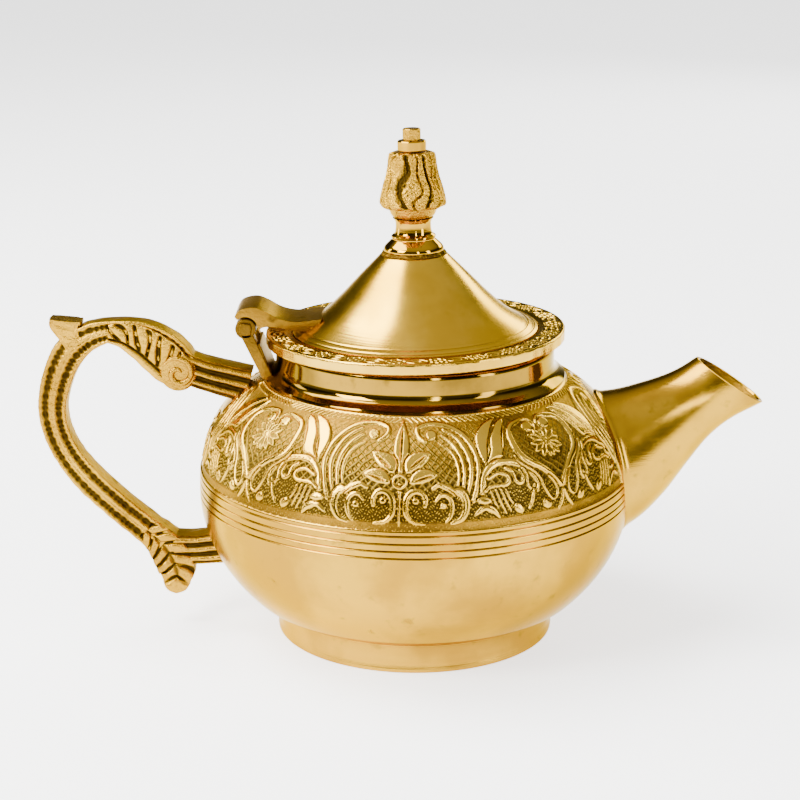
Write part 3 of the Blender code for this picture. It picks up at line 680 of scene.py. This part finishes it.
def make_spout():
    """One skin that goes up the outside, over the rounded lip and down the inside."""
    outer = spread_base(cut_to_body(spout_surface(0.0)))
    inner = cut_to_body(spout_surface(SPOUT_WALL))
    lip = (outer[-1:] + inner[-1:]) / 2
    outward = np.array([math.cos(LIP_SLOPE), 0.0, math.sin(LIP_SLOPE)]) * LIP_CROWN
    shell = np.concatenate([outer, lip + outward, inner[::-1]])
    spout = add_grid("pot_spout", to_world(shell))
    spout.data.set_sharp_from_angle(angle=math.radians(50.0))
    dress(spout, SATIN, "pot", "spout")
    spout.data.materials.append(INSIDE)
    columns = shell.shape[1]
    slots = np.zeros(len(spout.data.polygons), dtype=np.int32)
    slots[(len(outer) + 2) * columns:] = 1
    spout.data.polygons.foreach_set("material_index", slots)


# ---- handle

# Each bar runs through knots of x, z and half width.
BOW = [
    (-64.4, 76.9, 3.2), (-67.0, 79.9, 4.2), (-70.8, 83.4, 4.3), (-76.6, 86.8, 3.6),
    (-84.0, 88.0, 2.9), (-91.6, 86.4, 3.6), (-97.7, 82.0, 4.3), (-101.4, 75.2, 4.2),
    (-103.6, 66.0, 3.9), (-102.6, 58.0, 3.7), (-99.3, 50.6, 3.7), (-94.0, 43.6, 3.9),
    (-86.8, 36.4, 3.9), (-78.6, 29.2, 4.0), (-73.2, 24.4, 4.3),
]
SPUR = [(-96.4, 83.6, 2.6), (-97.6, 86.2, 2.8), (-98.4, 88.2, 3.5), (-98.8, 89.8, 4.3),
        (-98.7, 91.0, 4.4)]
LEAF = [(-86.6, 87.4, 2.6), (-82.0, 86.9, 3.9), (-77.2, 84.6, 4.9), (-73.0, 81.4, 5.6),
        (-69.6, 78.2, 5.6), (-67.6, 76.4, 5.0)]
DROP = [(-77.6, 28.6, 3.4), (-73.8, 24.8, 4.7), (-71.0, 20.6, 5.4), (-69.5, 16.2, 5.2),
        (-69.6, 13.2, 3.9)]
UPPER_TENON = [(-66.0, 77.6, 4.2), (-59.5, 75.2, 4.3), (-47.4, 71.9, 4.8)]
LOWER_TENON = [(-70.0, 22.4, 4.6), (-64.0, 22.6, 4.3), (-55.6, 23.3, 4.6)]
VOLUTE = (-67.0, 76.0)
VOLUTE_DISC_X = -67.2
FACE_COLUMNS = 41
FLANK_COLUMNS = 9
TUBE_SIDES = 10


# Each carving gives the depth of cut across a face, from -1 to 1, at a distance along the bar.

def channels(across, distance, total):
    """Ribs at both edges and the middle, with a beaded channel between each two."""
    groove = (0.5 - 0.5 * np.cos(across * math.pi * 2.0)) ** 1.5 * step(0.99, 0.80, np.abs(across))
    fade = step(0.0, 5.0, distance) * step(0.0, 5.0, total - distance)
    bead = 0.24 * np.sin(distance * 3.4 + 1.5 * np.sin(distance * 0.9)) * groove
    vein = 0.22 * step(0.16, 0.02, np.abs(across))
    return (groove - bead + vein) * (0.35 + 0.65 * fade)


def flutes(across, distance, total):
    """Deep flutes along a tenon."""
    wave = 1.15 * (0.5 - 0.5 * np.cos(across * math.pi * 3.0)) ** 1.2
    return wave * step(1.0, 0.85, np.abs(across))


def lobes(across, distance, total):
    """The slanting lobes of a leaf, cut on both sides of a vein nearer its upper edge."""
    wave = (distance / 3.5 + 0.85 * across + 0.12 * math.sin(distance)) % 1.0
    cut = np.exp(-((wave - 0.5) / 0.17) ** 2)
    vein = np.exp(-((across + 0.55) / 0.10) ** 2)
    edge = step(1.0, 0.84, np.abs(across))
    near_end = step(total, total - 6.0, distance)
    return 1.15 * np.maximum(cut * step(-0.62, -0.4, across) * near_end, 0.8 * vein) * edge


def chevrons(across, distance, total):
    """Overlapping leaves that point down the drop."""
    wave = (distance / 3.7 - 0.75 * np.abs(across)) % 1.0
    cut = np.exp(-((wave - 0.5) / 0.16) ** 2) * step(total - 1.0, total - 5.0, distance)
    vein = 0.7 * np.exp(-(across / 0.11) ** 2) * step(total, total - 7.0, distance)
    return np.maximum(cut, vein)


def plain_face(across, distance, total):
    return 0.25 * np.exp(-((np.abs(across) - 0.8) / 0.12) ** 2)


def carved_bar(name, knots, carving, thickness=HANDLE_HALF, rounded=False):
    """A cast bar with its two faces carved and, if rounded, its last end drawn to a dome."""
    line = smooth(knots, 26)
    if rounded:
        end, before = line[-1], line[-2]
        direction = (end - before)[:2] / np.linalg.norm((end - before)[:2])
        tail = []
        for angle in np.radians(np.linspace(8.0, 86.0, 14)):
            centre = end[:2] + direction * end[2] * math.sin(angle)
            tail.append((centre[0], centre[1], end[2] * math.cos(angle)))
        line = np.vstack([line, tail])
    along = np.gradient(line[:, :2], axis=0)
    along /= np.linalg.norm(along, axis=1)[:, None]
    steps = np.linalg.norm(np.diff(line[:, :2], axis=0), axis=1)
    length = np.concatenate([[0.0], np.cumsum(steps)])
    side = np.linspace(-1.0, 1.0, FACE_COLUMNS)
    edge = np.linspace(-1.0, 1.0, FLANK_COLUMNS + 2)[1:-1]
    rings, heights = [], []
    for (x, z, half), (dx, dz), distance in zip(line, along, length):
        carve = carving(side, distance, length[-1])
        crown = thickness - 0.5 * np.abs(side) ** 6 - carve
        bulge = half + 0.18 * (1.0 - edge * edge)
        ring = [(w * half, -t) for w, t in zip(side, crown)]
        ring += [(w, e * (thickness - 0.5)) for w, e in zip(bulge, edge)]
        ring += [(w * half, t) for w, t in zip(side[::-1], crown[::-1])]
        ring += [(-w, -e * (thickness - 0.5)) for w, e in zip(bulge, edge)]
        rings.append([(x - dz * w, y, z + dx * w) for w, y in ring])
        face = 1.0 - 0.95 * np.clip(carve, 0.0, 1.0)
        flank = np.full(FLANK_COLUMNS, 0.6)
        heights.append(np.concatenate([face, flank, face[::-1], flank]))
    bar = add_grid(name, to_world(np.array(rings)), height=np.array(heights))
    cap_ends(bar, len(rings), len(rings[0]))
    roughen(bar, 0.10, 900.0)
    bar.data.set_sharp_from_angle(angle=math.radians(60.0))
    return bar


def cap_ends(piece, rows, columns):
    """Close the first and last ring of a grid."""
    bm = bmesh.new()
    bm.from_mesh(piece.data)
    bm.verts.ensure_lookup_table()
    bm.faces.new([bm.verts[i] for i in range(columns)])
    bm.faces.new([bm.verts[(rows - 1) * columns + i] for i in range(columns)])
    bmesh.ops.recalc_face_normals(bm, faces=bm.faces)
    bm.to_mesh(piece.data)
    bm.free()
    piece.data.shade_smooth()


def tube(name, points, radius):
    """A round raised line along 3-D points, thin at both ends."""
    line = smooth(points, 10)
    along = np.gradient(line, axis=0)
    along /= np.linalg.norm(along, axis=1)[:, None]
    rings = []
    for i, (point, direction) in enumerate(zip(line, along)):
        share = i / (len(line) - 1)
        reach = radius * math.sin(math.pi * min(max(share, 0.03), 0.97)) ** 0.4
        first = np.cross(direction, [0.0, 1.0, 0.0])
        first /= np.linalg.norm(first) + 1e-9
        second = np.cross(direction, first)
        ring = []
        for angle in np.linspace(0.0, math.tau, TUBE_SIDES, endpoint=False):
            out = first * math.cos(angle) + second * math.sin(angle)
            ring.append(point + reach * out)
        rings.append(ring)
    relief = np.full((len(rings), TUBE_SIDES), 0.95)
    piece = add_grid(name, to_world(np.array(rings)), height=relief)
    cap_ends(piece, len(rings), TUBE_SIDES)
    return piece


def spiral(centre, start_radius, end_radius, start, turns, y):
    x, z = centre
    points = []
    for t in np.linspace(0.0, 1.0, int(14 * turns)):
        radius = start_radius + (end_radius - start_radius) * t
        angle = math.radians(start) - math.tau * turns * t
        points.append((x + radius * math.cos(angle), y, z + radius * math.sin(angle)))
    return points


def make_handle():
    parts = [carved_bar("handle_bow", BOW, channels),
             carved_bar("handle_spur", SPUR, plain_face, HANDLE_HALF - 0.1),
             carved_bar("handle_leaf", LEAF, lobes, HANDLE_HALF + 0.65, rounded=True),
             carved_bar("handle_drop", DROP, chevrons, HANDLE_HALF + 0.55, rounded=True),
             carved_bar("upper_tenon", UPPER_TENON, flutes, HANDLE_HALF + 0.5),
             carved_bar("lower_tenon", LOWER_TENON, flutes, HANDLE_HALF + 0.35)]
    for tag, side in (("near", -1.0), ("far", 1.0)):
        curl = spiral(VOLUTE, 4.9, 0.6, 150.0, 1.35, side * (HANDLE_HALF + 0.55))
        parts.append(tube(f"volute_{tag}", curl, 0.95))
    for part in parts:
        dress(part, CAST, "pot", "handle")
    disc = lathe("volute_eye", [(0.01, -4.3), (4.6, -4.3), (5.2, -3.7), (5.2, 3.7), (4.6, 4.3),
                                (0.01, 4.3)], to_world, steps=64, spacing=0.6)
    to_axis = Matrix.Translation(Vector((-AXIS_X, 0.0, 0.0)) * MM)
    to_volute = Matrix.Translation(Vector((AXIS_X + VOLUTE_DISC_X, 0.0, VOLUTE[1])) * MM)
    disc.data.transform(to_volute @ Matrix.Rotation(math.pi / 2, 4, "X") @ to_axis)
    dress(disc, CAST, "pot", "handle")


# ---- lid

FLANGE_Z = 84.55
LID_TOP_Z = 87.7
CONE_RADIUS = 34.7
FINIAL_Z = 108.8
COLLAR_Z = 137.8
FLANGE_RADIUS = 42.3
EYES = 22
RIM_MIDDLE = 39.0
RIM_DEPTH = 0.50
RIM_STEPS = 1320
KNURL_DEPTH = 0.10
CONE_FLARE = [(CONE_RADIUS, LID_TOP_Z), (30.4, 89.6), (25.8, 92.6), (21.0, 97.0), (15.4, 102.8),
              (9.4, FINIAL_Z)]


def rim_relief(angle, radius):
    """A chain of chip-cut eyes with crossing leaves between them, round the lid's rim."""
    phase = np.abs((angle * EYES / math.tau) % 1.0 - 0.5)
    across = np.abs(radius - RIM_MIDDLE)
    lens = 1.75 * np.clip(1.0 - (phase / 0.29) ** 2, 0.0, 1.0)
    outline = np.where(phase < 0.31, np.abs(across - lens), 9.0)
    pupil = np.hypot(phase / 0.15, across / 0.62)
    leaf = np.abs(across - 2.3 * (phase - 0.25) / 0.25) / 1.4
    leaf = np.where(phase > 0.24, leaf, 9.0)
    second = np.abs(across - 2.3 * (0.5 - phase) / 0.22) / 1.4
    second = np.where(phase > 0.30, second, 9.0)
    cut = np.maximum.reduce([step(0.42, 0.05, outline), step(1.0, 0.3, pupil),
                             0.9 * step(0.40, 0.05, leaf), 0.7 * step(0.32, 0.05, second)])
    return 1.0 - cut * step(2.55, 2.2, across)


def make_flange():
    """The lid's rim: chip-cut top, slightly uneven edge and a step that the cone sits in."""
    rim, top = FLANGE_RADIUS, LID_TOP_Z
    outside = [(33.4, FLANGE_Z), (rim - 0.4, FLANGE_Z), (rim, FLANGE_Z + 0.3), (rim, top - 0.35),
               (rim - 0.2, top - 0.08)]
    face = [(radius, top) for radius in np.linspace(rim - 0.45, 36.2, 34)]
    inside = [(35.9, top - 0.2), (35.4, top - 0.05), (35.0, top - 0.2), (35.0, 86.2), (33.4, 86.2)]
    line = np.vstack([resample(outside, 0.5), face, resample(inside, 0.5)])
    radius, height, turn = spun(line, RIM_STEPS)
    on_face = height == top
    relief = np.where(on_face, rim_relief(turn, radius), 0.95)
    height = height + np.where(on_face, RIM_DEPTH * (relief - 1.0), 0.0)
    edge = np.abs(radius - rim) < 0.05
    radius = radius - np.where(edge, KNURL_DEPTH * (0.5 + 0.5 * np.sin(turn * EYES * 2)), 0.0)
    flange = add_grid("lid_rim", lid_to_world(round_axis(radius, height, turn)), close_rows=True,
                      height=relief)
    dress(flange, ENGRAVED, "lid", "lid_flange")


def make_cone():
    """The spun cone with two turned lines at its foot, and the solder under the finial."""
    outer = smooth(CONE_FLARE, 24)
    for level in (0.5, 1.25):
        groove = np.exp(-((outer[:, 1] - LID_TOP_Z - level) / 0.10) ** 2)
        outer[:, 1] -= 0.16 * groove
    inner = smooth([(radius - 1.0, height - 0.9) for radius, height in CONE_FLARE], 8)[::-1]
    outline = [(CONE_RADIUS, 86.5)] + list(outer)
    outline += [(2.5, FINIAL_Z), (2.5, FINIAL_Z - 1.2), (7.6, FINIAL_Z - 1.2)]
    outline += list(inner[2:]) + [(33.5, 86.5)]
    dress(lathe("lid_spun_cone", outline, lid_to_world, steps=384, spacing=0.8, edge=50.0), SPUN,
          "lid", "lid_cone")
    solder = [(8.0, FINIAL_Z - 0.1), (9.0, FINIAL_Z - 0.1), (9.1, FINIAL_Z + 0.3),
              (8.5, FINIAL_Z + 1.0), (7.8, FINIAL_Z + 0.9)]
    ring = lathe("solder_ring", solder, lid_to_world, steps=240, spacing=0.2, edge=80.0)
    roughen(ring, 0.30, 1300.0)
    dress(ring, SOLDER, "lid")


def roughen(piece, amount, scale):
    """Make the surface slightly uneven, as a sand casting or a solder bead is."""
    count = len(piece.data.vertices)
    places = np.empty(count * 3)
    piece.data.vertices.foreach_get("co", places)
    places = places.reshape(-1, 3)
    normals = np.empty(count * 3)
    piece.data.vertices.foreach_get("normal", normals)
    wave = np.zeros(count)
    for k, (a, b, c) in enumerate(((1.0, 0.6, 0.3), (-0.5, 1.1, 0.7), (0.4, -0.8, 1.3))):
        wave += np.sin(scale * (1 + 0.7 * k) * (places @ np.array([a, b, c])) + k)
    places += normals.reshape(-1, 3) * (wave / 3 * amount * MM)[:, None]
    piece.data.vertices.foreach_set("co", places.reshape(-1))
    piece.data.update()


def make_locating_ring():
    outline = [(35.4, 80.2), (36.3, 80.2), (36.6, 80.6), (36.6, 84.25), (35.4, 84.25)]
    ring = lathe("lid_inner_ring", outline, lid_to_world, steps=256, spacing=0.5)
    dress(ring, MIRROR, "lid", "lid_locating_ring")


def make_finial():
    """The waisted base, the collar on top of the bud and the rod through them all."""
    z = FINIAL_Z + 0.3
    base = smooth([(8.2, z + 0.3), (8.45, z + 1.1), (8.1, z + 2.1), (7.0, z + 3.2),
                   (6.0, z + 4.1)], 6)
    waist = smooth([(5.1, z + 6.2), (4.95, z + 7.6), (5.0, z + 8.8), (5.4, z + 9.6),
                    (5.7, z + 10.0)], 5)
    outline = [(2.5, z), (8.0, z)] + list(base)
    outline += [(6.0, z + 4.3), (6.25, z + 4.65), (6.2, z + 5.0), (5.8, z + 5.3), (5.3, z + 5.6)]
    outline += list(waist) + [(2.5, z + 10.0)]
    spool = lathe("finial_spool", outline, lid_to_world, steps=128, spacing=0.3)
    dress(spool, MIRROR, "lid", "finial_base")
    z = COLLAR_Z
    collar = [(2.5, z), (3.8, z), (4.0, z + 0.25), (4.0, z + 2.5), (3.75, z + 2.8), (2.5, z + 2.8)]
    dress(lathe("finial_cap", collar, lid_to_world, steps=96, spacing=0.3), MIRROR, "lid",
          "finial_collar")
    stud = [(0.01, 100.6), (1.9, 100.6), (2.2, 100.9), (2.2, 140.9), (2.5, 140.9), (2.5, 143.6),
            (2.25, 143.9), (0.01, 143.9)]
    dress(lathe("finial_rod", stud, lid_to_world, steps=64, spacing=0.5), CAST, "lid",
          "finial_stud")


CUP = [(5.6, 119.4), (6.2, 120.2), (6.6, 121.2), (6.9, 122.0)]
LEAFY = [(8.0, 122.1), (8.85, 122.6), (9.0, 123.6), (8.7, 125.4), (8.0, 128.2), (7.1, 131.2),
         (6.6, 133.8), (6.35, 135.9), (6.1, 137.0)]
LEAVES = 8
LEAF_DEPTH = 1.25
LEAF_DROOP = 0.75


def make_tulip():
    """The cast bud: ragged upright leaves that overhang a polished cup."""
    line = np.vstack([smooth(CUP, 8), smooth(LEAFY, 14), [(5.0, 137.5), (2.6, 137.55)]])
    radius, height, turn = spun(line, 540)
    leafy = step(7.0, 7.9, radius) * step(121.9, 122.2, height)
    leafy = np.where((height > 124.0) & (height < 137.2), 1.0, leafy)
    bend = 0.22 * np.sin(2.0 * turn + 0.9) + 0.10 * np.sin(height * 0.5 + 3.0 * turn)
    wave = (turn + bend) * LEAVES / 2
    lobes = np.abs(np.cos(wave))
    cracks = np.abs(np.sin(wave * 2.0 + 0.8 * np.sin(height * 0.7 + turn * 2.0)))
    grain = np.random.default_rng(7).normal(0.0, 1.0, radius.shape)
    for _ in range(3):
        grain = (grain + np.roll(grain, 1, 0) + np.roll(grain, 1, 1) + np.roll(grain, -1, 1)) / 2.2
    grain = np.clip(grain / (3.0 * grain.std()), -1.0, 1.0)
    relief = step(0.04, 0.42, lobes) * (0.45 + 0.55 * step(0.05, 0.55, cracks))
    relief = np.clip(relief + 0.30 * grain, 0.0, 1.0)
    radius = radius + leafy * (LEAF_DEPTH * (relief - 0.75))
    height = height + LEAF_DROOP * (1.0 - lobes) * step(125.0, 122.6, height) * leafy
    shade = 1.0 - leafy * (1.0 - relief)
    tulip = add_grid("finial_bud", lid_to_world(round_axis(radius, height, turn)), height=shade)
    dress(tulip, CAST, "lid", "finial_tulip")


def slab(name, outline, low_y, high_y, place, bevel):
    """A cast plate with softened edges: its outline of (x, z) points runs from low_y to high_y."""
    bm = bmesh.new()
    points = place(np.array([(x, low_y, z) for x, z in outline]))
    face = bm.faces.new([bm.verts.new(point) for point in points])
    moved = bmesh.ops.extrude_face_region(bm, geom=[face])
    shift = Vector((0.0, (high_y - low_y) * MM, 0.0))
    tops = [item for item in moved["geom"] if isinstance(item, bmesh.types.BMVert)]
    bmesh.ops.translate(bm, verts=tops, vec=shift)
    bmesh.ops.recalc_face_normals(bm, faces=bm.faces)
    rims = [edge for edge in bm.edges if edge.calc_face_angle(0.0) > math.radians(40.0)]
    bmesh.ops.bevel(bm, geom=rims, offset=bevel * MM, segments=3, profile=0.6, affect="EDGES",
                    clamp_overlap=True)
    mesh = bpy.data.meshes.new(name)
    bm.to_mesh(mesh)
    bm.free()
    mesh.shade_smooth()
    mesh.set_sharp_from_angle(angle=math.radians(50.0))
    piece = bpy.data.objects.new(name, mesh)
    bpy.context.collection.objects.link(piece)
    return piece


def arc(centre, radius, start, end, steps):
    angles = np.radians(np.linspace(start, end, steps + 1))
    return [(centre[0] + radius * math.cos(a), centre[1] + radius * math.sin(a)) for a in angles]


KNUCKLE = 2.9
HINGE_HALF = 8.0
LUGS = (("near", -HINGE_HALF + 0.1, -3.9), ("far", 3.9, HINGE_HALF - 0.1))
PIN_HEADS = (("near", -8.9, -8.1), ("far", 8.1, 8.9))
PIN_RADIUS = 1.1
PIN_HALF = 8.1
TONGUE_HALF = 3.55


def make_hinge():
    """Two lugs on a strap soldered to the neck, the peened pin, and the lid's cast arm."""
    pivot = (PIVOT.x, PIVOT.z)

    def fixed(name, outline, low, high, node, bevel=0.35):
        dress(slab(name, outline, low, high, to_world, bevel), AGED, "pot", node)

    eye = arc(pivot, KNUCKLE, 0.0, 360.0, 48)[:-1]
    for tag, low, high in LUGS:
        fixed(f"hinge_lug_{tag}", eye, low, high, "hinge_bracket")
    strap = [(pivot[0] - 0.4, pivot[1] - 1.0), (pivot[0] - 1.6, pivot[1] - 1.6),
             (-43.0, 75.4), (-40.6, 74.8), (-40.2, 76.4), (pivot[0] + 2.0, pivot[1] - 1.5)]
    for tag, low, high in LUGS:
        fixed(f"hinge_cheek_{tag}", strap, low, high, "hinge_bracket")
    web = [(-46.2, 84.6), (-43.0, 75.4), (-40.6, 74.8), (-40.2, 76.4), (-43.6, 85.6)]
    fixed("hinge_strap", web, -HINGE_HALF + 0.5, HINGE_HALF - 0.5, "hinge_bracket")
    shank = arc(pivot, PIN_RADIUS, 0.0, 360.0, 32)[:-1]
    fixed("hinge_pin_shank", shank, -PIN_HALF, PIN_HALF, "hinge_pin", 0.1)
    for tag, low, high in PIN_HEADS:
        head = []
        for x, z in arc((0.0, 0.0), 1.9, 45.0, 405.0, 24)[:-1]:
            squared = 1.0 / max(abs(x), abs(z)) ** 0.6
            head.append((pivot[0] + x * squared * 1.35, pivot[1] + z * squared * 1.35))
        fixed(f"pin_head_{tag}", head, low, high, "hinge_pin", 0.3)

    top = smooth([(-50.4, 93.4), (-49.2, 95.0), (-47.0, 95.8), (-44.4, 95.9), (-41.6, 94.7),
                  (-38.8, 93.0), (-35.6, 91.9), (-32.0, 91.6), (-26.0, 92.2)], 8)
    under = smooth([(-43.9, 89.4), (-42.0, 90.3), (-38.0, 90.0), (-33.2, 89.0), (-28.0, 89.0)], 4)
    notch = arc(pivot, KNUCKLE + 0.6, 130.0, -6.0, 24)
    outline = notch + list(under) + list(top[::-1])
    arm = slab("lid_arm", outline, -HINGE_HALF, HINGE_HALF, lid_to_world, 0.4)
    dress(arm, TARNISHED_AND_SHADED, "lid", "lid_hinge_arm")
    tongue = arc(pivot, KNUCKLE, 150.0, 330.0, 30) + [(-43.6, 92.0), (-48.0, 94.0)]
    dress(slab("lid_arm_tongue", tongue, -TONGUE_HALF, TONGUE_HALF, lid_to_world, 0.3), TARNISHED_AND_SHADED,
          "lid", "lid_hinge_arm")


def make_carried_over():
    """Plain CAD pieces keep their shape and take a finished material."""
    for node in ("finial_washer", "finial_nut"):
        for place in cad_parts[node].material_slots:
            place.material = SPUN


# ---- studio

# Metres, as all of the studio is.
FLOOR_REACH = 9.0
FLOOR_GLOW = 1.9
AIM = Vector((0.0, 0.0, 0.07))
# Name, place, size and power in watts.
LAMPS = (
    ("key_light", (-0.85, -0.6, 0.75), (0.5, 0.6), 34.0),
    ("fill_light", (1.0, -0.6, 0.45), (0.25, 0.8), 9.0),
    ("top_light", (-0.55, 0.08, 0.95), (0.75, 0.55), 26.0),
    ("back_light", (0.7, 1.2, 0.6), (0.9, 0.35), 12.0),
    ("left_strip", (-1.1, 0.4, 0.3), (0.2, 0.8), 7.0),
    ("front_strip", (0.35, -1.2, 0.55), (0.12, 0.7), 6.0),
)


def make_floor():
    """Pale paper that glows a little, to stay white under soft lamps."""
    square = ((-1, -1), (1, -1), (1, 1), (-1, 1))
    edges = [(x * FLOOR_REACH, y * FLOOR_REACH, 0) for x, y in square]
    floor_mesh = bpy.data.meshes.new("floor")
    floor_mesh.from_pydata(edges, [], [(0, 1, 2, 3)])
    floor = bpy.data.objects.new("floor", floor_mesh)
    bpy.context.collection.objects.link(floor)
    paper = bpy.data.materials.new("paper")
    paper.use_nodes = True
    shader = paper.node_tree.nodes["Principled BSDF"]
    shader.inputs["Base Color"].default_value = (0.9, 0.9, 0.89, 1.0)
    shader.inputs["Roughness"].default_value = 0.9
    shader.inputs["Emission Color"].default_value = (1.0, 1.0, 1.0, 1.0)
    shader.inputs["Emission Strength"].default_value = FLOOR_GLOW
    floor_mesh.materials.append(paper)


def make_sky():
    """Pale at the horizon and overhead, and dark between, where the brass mirrors a room."""
    world = bpy.data.worlds.new("studio")
    world.use_nodes = True
    bpy.context.scene.world = world
    nodes, links = world.node_tree.nodes, world.node_tree.links
    coordinates = nodes.new("ShaderNodeTexCoord")
    split = nodes.new("ShaderNodeSeparateXYZ")
    links.new(coordinates.outputs["Generated"], split.inputs["Vector"])
    sky = nodes.new("ShaderNodeValToRGB")
    sky.color_ramp.elements[0].color = (0.9, 0.891, 0.873, 1.0)
    for place, level in ((0.10, 0.25), (0.22, 0.03), (0.45, 0.06), (0.70, 0.75)):
        stop = sky.color_ramp.elements.new(place)
        stop.color = (level, level * 0.99, level * 0.97, 1.0)
    sky.color_ramp.elements[-1].color = (1.1, 1.1, 1.12, 1.0)
    links.new(split.outputs["Z"], sky.inputs["Fac"])
    links.new(sky.outputs["Color"], nodes["Background"].inputs["Color"])
    nodes["Background"].inputs["Strength"].default_value = 1.0


def make_lamps():
    for name, place, size, power in LAMPS:
        lamp = bpy.data.lights.new(name, "AREA")
        lamp.shape = "RECTANGLE"
        lamp.size, lamp.size_y = size
        lamp.energy = power
        light = bpy.data.objects.new(name, lamp)
        light.location = place
        light.rotation_euler = (AIM - Vector(place)).to_track_quat("-Z", "Y").to_euler()
        bpy.context.collection.objects.link(light)


CAMERA_LENS = 85.5
CAMERA_DOWN = 15.9
CAMERA_PLACE = (AXIS_X - 4.3, -523.6, 216.2)


def make_camera():
    camera_data = bpy.data.cameras.new("camera")
    camera_data.sensor_width = 36.0
    camera_data.lens = CAMERA_LENS
    camera = bpy.data.objects.new("camera", camera_data)
    camera.location = Vector(CAMERA_PLACE) * MM
    camera.rotation_euler = (math.radians(90.0 - CAMERA_DOWN), 0.0, 0.0)
    bpy.context.collection.objects.link(camera)
    bpy.context.scene.camera = camera


for build in (make_camera, make_floor, make_sky, make_lamps, make_bowl, make_foot, make_neck,
              make_shoulder, make_spout, make_handle, make_flange, make_cone, make_locating_ring,
              make_finial, make_tulip, make_hinge, make_carried_over):
    build()
